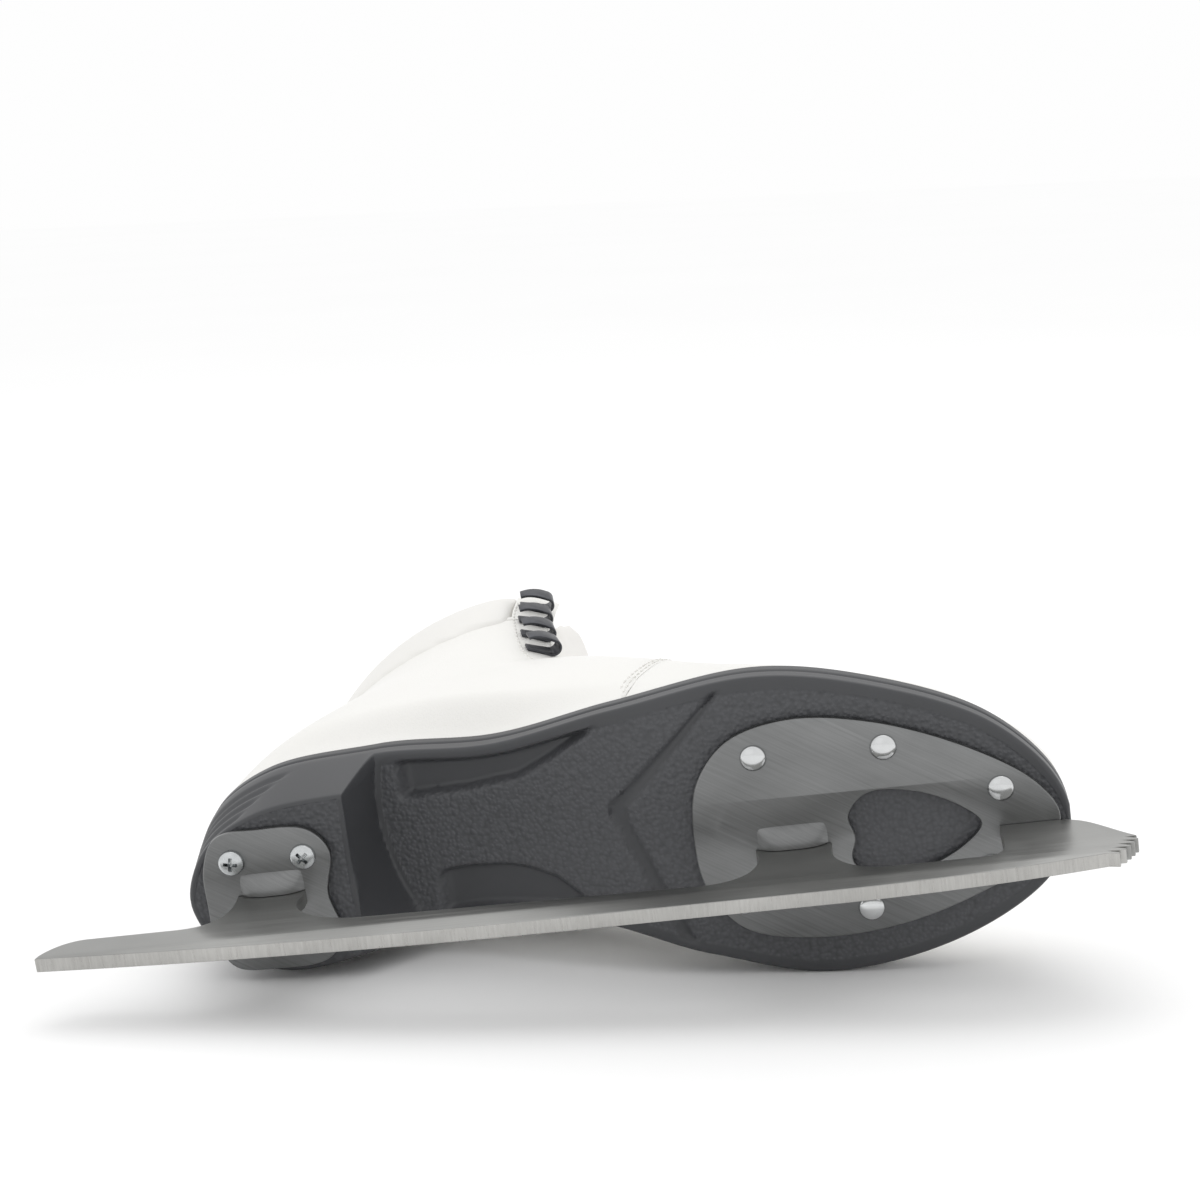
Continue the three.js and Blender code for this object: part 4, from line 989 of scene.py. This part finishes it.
# ---------------------------------------------------------------- padded collar, tongue and footbed
def puffed(made, voxel_mm, pressure, cap_mm):
    """Lets a stuffed piece swell like stitched cloth and keeps a limited part of the swelling."""
    even = made.modifiers.new("even", "REMESH")
    even.mode, even.voxel_size = "VOXEL", voxel_mm / 1000
    apply_modifiers(made)
    twin = bpy.data.objects.new("cloth_twin", made.data.copy())
    bpy.context.scene.collection.objects.link(twin)
    twin.matrix_world = made.matrix_world
    cloth = twin.modifiers.new("cloth", "CLOTH").settings
    cloth.quality, cloth.mass, cloth.air_damping = 6, 0.25, 3.0
    cloth.tension_stiffness = cloth.compression_stiffness = 12.0
    cloth.bending_stiffness = 0.6
    cloth.use_pressure, cloth.uniform_pressure_force = True, pressure
    cloth.effector_weights.gravity = 0.0
    for step in range(1, 17):
        bpy.context.scene.frame_set(step)
    graph = bpy.context.evaluated_depsgraph_get()
    settled = twin.evaluated_get(graph).to_mesh()
    count = len(made.data.vertices)
    rest, moved = np.empty(count * 3), np.empty(count * 3)
    made.data.vertices.foreach_get("co", rest)
    settled.vertices.foreach_get("co", moved)
    shift = (moved - rest).reshape(-1, 3)
    size = np.maximum(np.linalg.norm(shift, axis=1, keepdims=True), 1e-9)
    shift = shift * np.minimum(1, cap_mm / 1000 / size)
    made.data.vertices.foreach_set("co", rest + shift.ravel())
    bpy.data.objects.remove(twin)
    bpy.context.scene.frame_set(1)
    made.modifiers.new("fine", "SUBSURF").levels = 1
    apply_modifiers(made)
    made.data.shade_smooth()


def make_collar():
    columns, rows = 130, []
    band = {s: np.interp(facing_at, facing_at, np.abs(facing_turns[s])) for s in (-1, 1)}

    def turn(at, share):
        start = np.interp(at, facing_at, band[1]) + 0.01
        end = 2 * math.pi - np.interp(at, facing_at, band[-1]) - 0.01
        return start + (end - start) * share

    def wrapped(value):
        return np.where(value > math.pi, value - 2 * math.pi, value)

    ats = np.linspace(11.5, 15, 120)
    for share in np.linspace(0, 1, columns):
        line = skin(ats, wrapped(turn(ats, share)))
        above = line[:, 1] > collar_y(line[:, 0]) + 0.3
        low = ats[int(np.argmax(above))]
        taper = smooth(min(share, 1 - share) / 0.04) * 0.75 + 0.25
        k = np.linspace(0, 1, 22)
        outside = np.c_[low + (15 - low) * k, -2.2 * np.sin(math.pi * k) ** 0.6 * taper - 0.3 * k]
        a = np.linspace(0, math.pi, 14)[1:-1]
        roll = np.c_[15 + 4.0 * np.sin(a) / 24, 3.9 - 4.2 * np.cos(a)]
        inside = np.c_[15 - (15 - low) * k, 8.1 + 1.8 * np.sin(math.pi * k) ** 0.7 * taper]
        floor = np.c_[np.full(10, low), np.linspace(8.1, 0, 12)[1:-1]]
        loop = np.vstack([outside, roll, inside, floor])
        rows.append(sunk(loop[:, 0], wrapped(turn(loop[:, 0], share)), loop[:, 1]))
    around = len(rows[0])
    faces = grid_faces(columns, around, ring=True)
    faces += [list(range(around)), [columns * around - 1 - i for i in range(around)]]
    made = piece("padded_ankle_collar", np.vstack(rows), faces, COLLAR_LEATHER,
                 replaces=["collar_pad"], sharp=0)
    weld(made, 0.001)
    made.data.shade_smooth()
    puffed(made, 2.4, 3.0, 1.0)


def make_tongue():
    top = collar_station + tongue_above / 24
    middle = leather + clearance + lining_thickness + 0.5 + tongue_thickness / 2
    ats = np.r_[np.arange(5.3, top - 0.3, 0.12), np.linspace(top - 0.3, top, 10)]
    u = np.linspace(-1, 1, 45)
    rows = []
    for at in ats:
        below = smooth((fold_station + 0.45 - at) / 0.9)
        room = tongue_gap * (1 - below) - tongue_tuck * below
        left = (top - at) / (top - collar_station + 0.3)
        rounding = 0.45 + 0.55 * math.sqrt(max(0, 1 - (1 - left) ** 2)) if left < 1 else 1
        outer = turn_at_width(at, (throat_half(at, 1) - room) * rounding, 1)
        inner = turn_at_width(at, (throat_half(at, -1) - room) * rounding, -1)
        turns = inner + (outer - inner) * (u + 1) / 2
        ends = min(1, (top - at) / 0.16, (at - 5.2) / 0.3)
        half = tongue_thickness / 2 * (1 - np.abs(u) ** 6) ** 0.5 * math.sqrt(max(ends, 0.02))
        half = half * (1 - 0.4 * np.exp(-((np.abs(u) - 0.84) / 0.035) ** 2))
        face = sunk(np.full(45, at), turns, middle - half)
        back = sunk(np.full(45, at), turns, middle + half)
        rows.append(np.vstack([face, back[-2:0:-1]]))
    around = len(rows[0])
    faces = grid_faces(len(rows), around, ring=True, flip=True)
    faces += [list(range(around)), [len(rows) * around - 1 - i for i in range(around)]]
    made = piece("padded_tongue", np.vstack(rows), faces, TONGUE_LEATHER, ride=False,
                 replaces=["tongue_lower", "tongue_upper"], sharp=0)
    weld(made, 0.001)
    made.data.shade_smooth()
    puffed(made, 2.2, 2.0, 0.6)
    run = sunk(fold_station + 0.3, 0.0, middle) - sunk(fold_station - 0.3, 0.0, middle)
    run = run / np.linalg.norm(run) * 7
    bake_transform(made)


def make_footbed():
    outline = closed_outline(SOLE_CORNERS, 1200)
    chains = [side_chain(outline, side) for side in (-1, 1)]
    turn = np.linspace(0, math.pi / 2, 12)
    ends = 1 - np.cos(turn)
    xs = np.unique(np.r_[44 + 14 * ends, np.arange(58, 252, 3.0), 268 - 18 * ends].round(2))
    reach = [chain - normal * 9.0 for chain, normal in chains]
    lines = []
    for line in reach:
        order = np.argsort(line[:, 0])
        lines.append(np.interp(xs, line[order, 0], line[order, 1]))
    u = np.linspace(0, 1, 34)
    z = lines[0][:, None] * (1 - u) + lines[1][:, None] * u
    cup = 0.9 * np.abs(2 * u - 1) ** 4
    y = top_line(xs)[:, None] + 5.7 + cup
    points = np.stack([np.repeat(xs[:, None], 34, 1), y, z], -1).reshape(-1, 3)
    made = piece("brushed_footbed", points, grid_faces(len(xs), 34), FOOTBED_WEAVE,
                 replaces=["footbed"], sharp=0)
    if made.data.polygons[len(made.data.polygons) // 2].normal.y < 0:
        made.data.flip_normals()
    thicken(made, 2.6, 0.7)


# ---------------------------------------------------------------- lacing hardware
def make_eyelet(name, node, at, side):
    arc = np.linspace(0, 2 * math.pi, 16, endpoint=False)
    radii = np.c_[3.05 + 0.85 * np.cos(arc), 0.25 + 0.5 * np.sin(arc)]
    radii[:, 0] -= 0.25 * (radii[:, 1] < 0)
    turns = np.linspace(0, 2 * math.pi, 36, endpoint=False)
    ring = [(r * math.cos(t), h, r * math.sin(t)) for r, h in radii for t in turns]
    rows = np.array(ring).reshape(16, 36, 3)
    faces = []
    for i in range(16):
        for k in range(36):
            j, m = (i + 1) % 16, (k + 1) % 36
            faces.append((i * 36 + k, j * 36 + k, j * 36 + m, i * 36 + m))
    points = placed(rows.reshape(-1, 3), fitting_place(at, side, facing_margin, 0.3))
    made = piece(name, points, faces, EYELET_METAL, replaces=[node], sharp=0)
    weld(made)
    made.data.shade_smooth()


def make_hook(name, node, at, side):
    bend = np.linspace(-math.pi / 2, math.pi / 2, 18)
    outer = [(-2.3 - 2.75 * math.cos(a), 2.75 + 2.75 * math.sin(a)) for a in bend]
    inner = [(-2.3 - 1.95 * math.cos(a), 2.75 + 1.95 * math.sin(a)) for a in bend[::-1]]
    arch = bow((-2.3, 5.5), (2.8, 6.6), (6.3, 4.3), 14)[1:].tolist()
    under = bow((5.9, 3.6), (2.8, 5.6), (-2.3, 4.7), 14)[:-1].tolist()
    outline = [(5.3, 0.8), (5.5, 0.4), (5.3, 0)] + outer + arch + under + inner
    points, faces = filled([outline], 5.8, 0.22)
    narrow = 1 - 0.3 * smooth((points[:, 0] + 2) / 8) * (points[:, 1] > 2.5)
    corner = 1 - 0.35 * smooth((points[:, 0] - 3.6) / 1.9) * (points[:, 1] < 1.2)
    points[:, 2] *= narrow * corner
    points = placed(points, fitting_place(at, side, facing_margin, 0.02))
    made = piece(name, points, faces, HOOK_METAL, replaces=[node], sharp=0)
    weld(made)
    made.data.set_sharp_from_angle(angle=math.radians(40))


def stitches(name, lines, pitch=2.6, radius=0.3):
    """Rows of short thread stitches lying on the leather; lines are (points, normals) pairs."""
    profile = np.array([(-0.95, 0.05), (-0.8, 0.62), (-0.4, 1.0), (0.4, 1.0), (0.8, 0.62), (0.95, 0.05)])
    ring = np.linspace(0, 2 * math.pi, 8, endpoint=False)
    points, faces = [], []
    for path, normals in lines:
        run = lengths(path)
        for s in np.arange(pitch / 2, run[-1] - pitch / 2, pitch):
            here, before, after, up = (
                np.array([np.interp(v, run, data[:, i]) for i in range(3)])
                for v, data in ((s, path), (s - 0.3, path), (s + 0.3, path), (s, normals)))
            ahead = (after - before) / max(np.linalg.norm(after - before), 1e-6)
            up = up - ahead * np.dot(up, ahead)
            up /= max(np.linalg.norm(up), 1e-6)
            side = np.cross(ahead, up)
            start = len(points)
            for along, width in profile:
                lift = 0.12 * (1 - along ** 2)
                for a in ring:
                    points.append(here + ahead * along + up * (radius * width * math.sin(a) * 0.8 + lift)
                                  + side * radius * width * math.cos(a))
            faces += grid_faces(6, 8, start=start, ring=True)
            faces += [[start + i for i in range(8)], [start + 47 - i for i in range(8)]]
    piece(name, points, faces, THREAD, sharp=0)


def seam_lines(side):
    """Sewing lines on one side: facing rows and behind the vamp seam."""
    lines = []
    for distance in (2.2, facing_width - 0.8):
        ats = np.linspace(6.7, 14.85, 90)
        turns = np.array([facing_turn(at, side, distance) for at in ats])
        lines.append((skin(ats, turns), skin_normal(ats, turns)))
    for gap in (1.6, 3.4):
        path, up = [], []
        for at in np.arange(6.35, 7.3, 0.035):
            start = abs(throat_turn(at, side))
            end = first_exit(lambda t: skin(at, side * t)[:, 0] < seam_x(skin(at, side * t)[:, 1]) - gap,
                             start + 1e-4, abs(np.interp(at, table_at, sole_turns[side])))
            if start + 0.02 < end < abs(np.interp(at, table_at, sole_turns[side])) - 0.02:
                path.append(skin(at, side * end))
                up.append(skin_normal(at, side * end))
        if len(path) > 3:
            lines.append((np.array(path), np.array(up)))
    return lines


make_vamp()
make_quarter("outer_quarter_leather", "quarter_outer", 1)
make_quarter("inner_quarter_leather", "quarter_inner", -1)
make_lining()
make_backstay()
make_collar()
make_tongue()
make_footbed()
for side, word in ((1, "outer"), (-1, "inner")):
    for number, at in enumerate(eyelet_places, 1):
        make_eyelet(f"rolled_eyelet_{word}_{number}", f"eyelet_{word}_{number}", at, side)
    for number, at in enumerate(hook_places, 1):
        make_hook(f"lace_hook_{word}_{number}", f"hook_{word}_{number}", at, side)
    stitches(f"thread_rows_{word}", seam_lines(side))
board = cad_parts["insole_board"]
board.data.materials.clear()
board.data.materials.append(BOARD)


# ---------------------------------------------------------------- floor and light
def make_studio():
    scene = bpy.context.scene
    scene.view_settings.view_transform = "Standard"
    mesh = bpy.data.meshes.new("studio_floor")
    mesh.from_pydata([(-8, -8, 0), (8, -8, 0), (8, 8, 0), (-8, 8, 0)], [], [(0, 1, 2, 3)])
    material, tree, surface = start_material("pale_studio_floor", Roughness=1.0, Specular_IOR_Level=0.0)
    paper = noise(tree, (400,) * 3, 2.0)
    tree.links.new(tones(tree, paper, "#ffffff", "#fdfdfd"), surface.inputs["Base Color"])
    mesh.materials.append(material)
    floor = bpy.data.objects.new("studio_floor", mesh)
    scene.collection.objects.link(floor)
    world = bpy.data.worlds.new("studio_air")
    world.use_nodes = True
    world.node_tree.nodes["Background"].inputs[0].default_value = (1.0, 1.0, 1.0, 1.0)
    world.node_tree.nodes["Background"].inputs[1].default_value = 0.99
    scene.world = world
    for name, place, size, power in (
            ("overhead_soft_box", (0.05, 0.45, 1.25), 1.1, 3.2), ("front_fill", (-0.5, -1.3, 0.7), 1.2, 0.4)):
        data = bpy.data.lights.new(name, "AREA")
        data.shape, data.size, data.energy = "SQUARE", size, power
        lamp = bpy.data.objects.new(name, data)
        lamp.location = place
        lamp.rotation_euler = (-Vector(place)).to_track_quat("-Z", "Y").to_euler()
        scene.collection.objects.link(lamp)


make_studio()
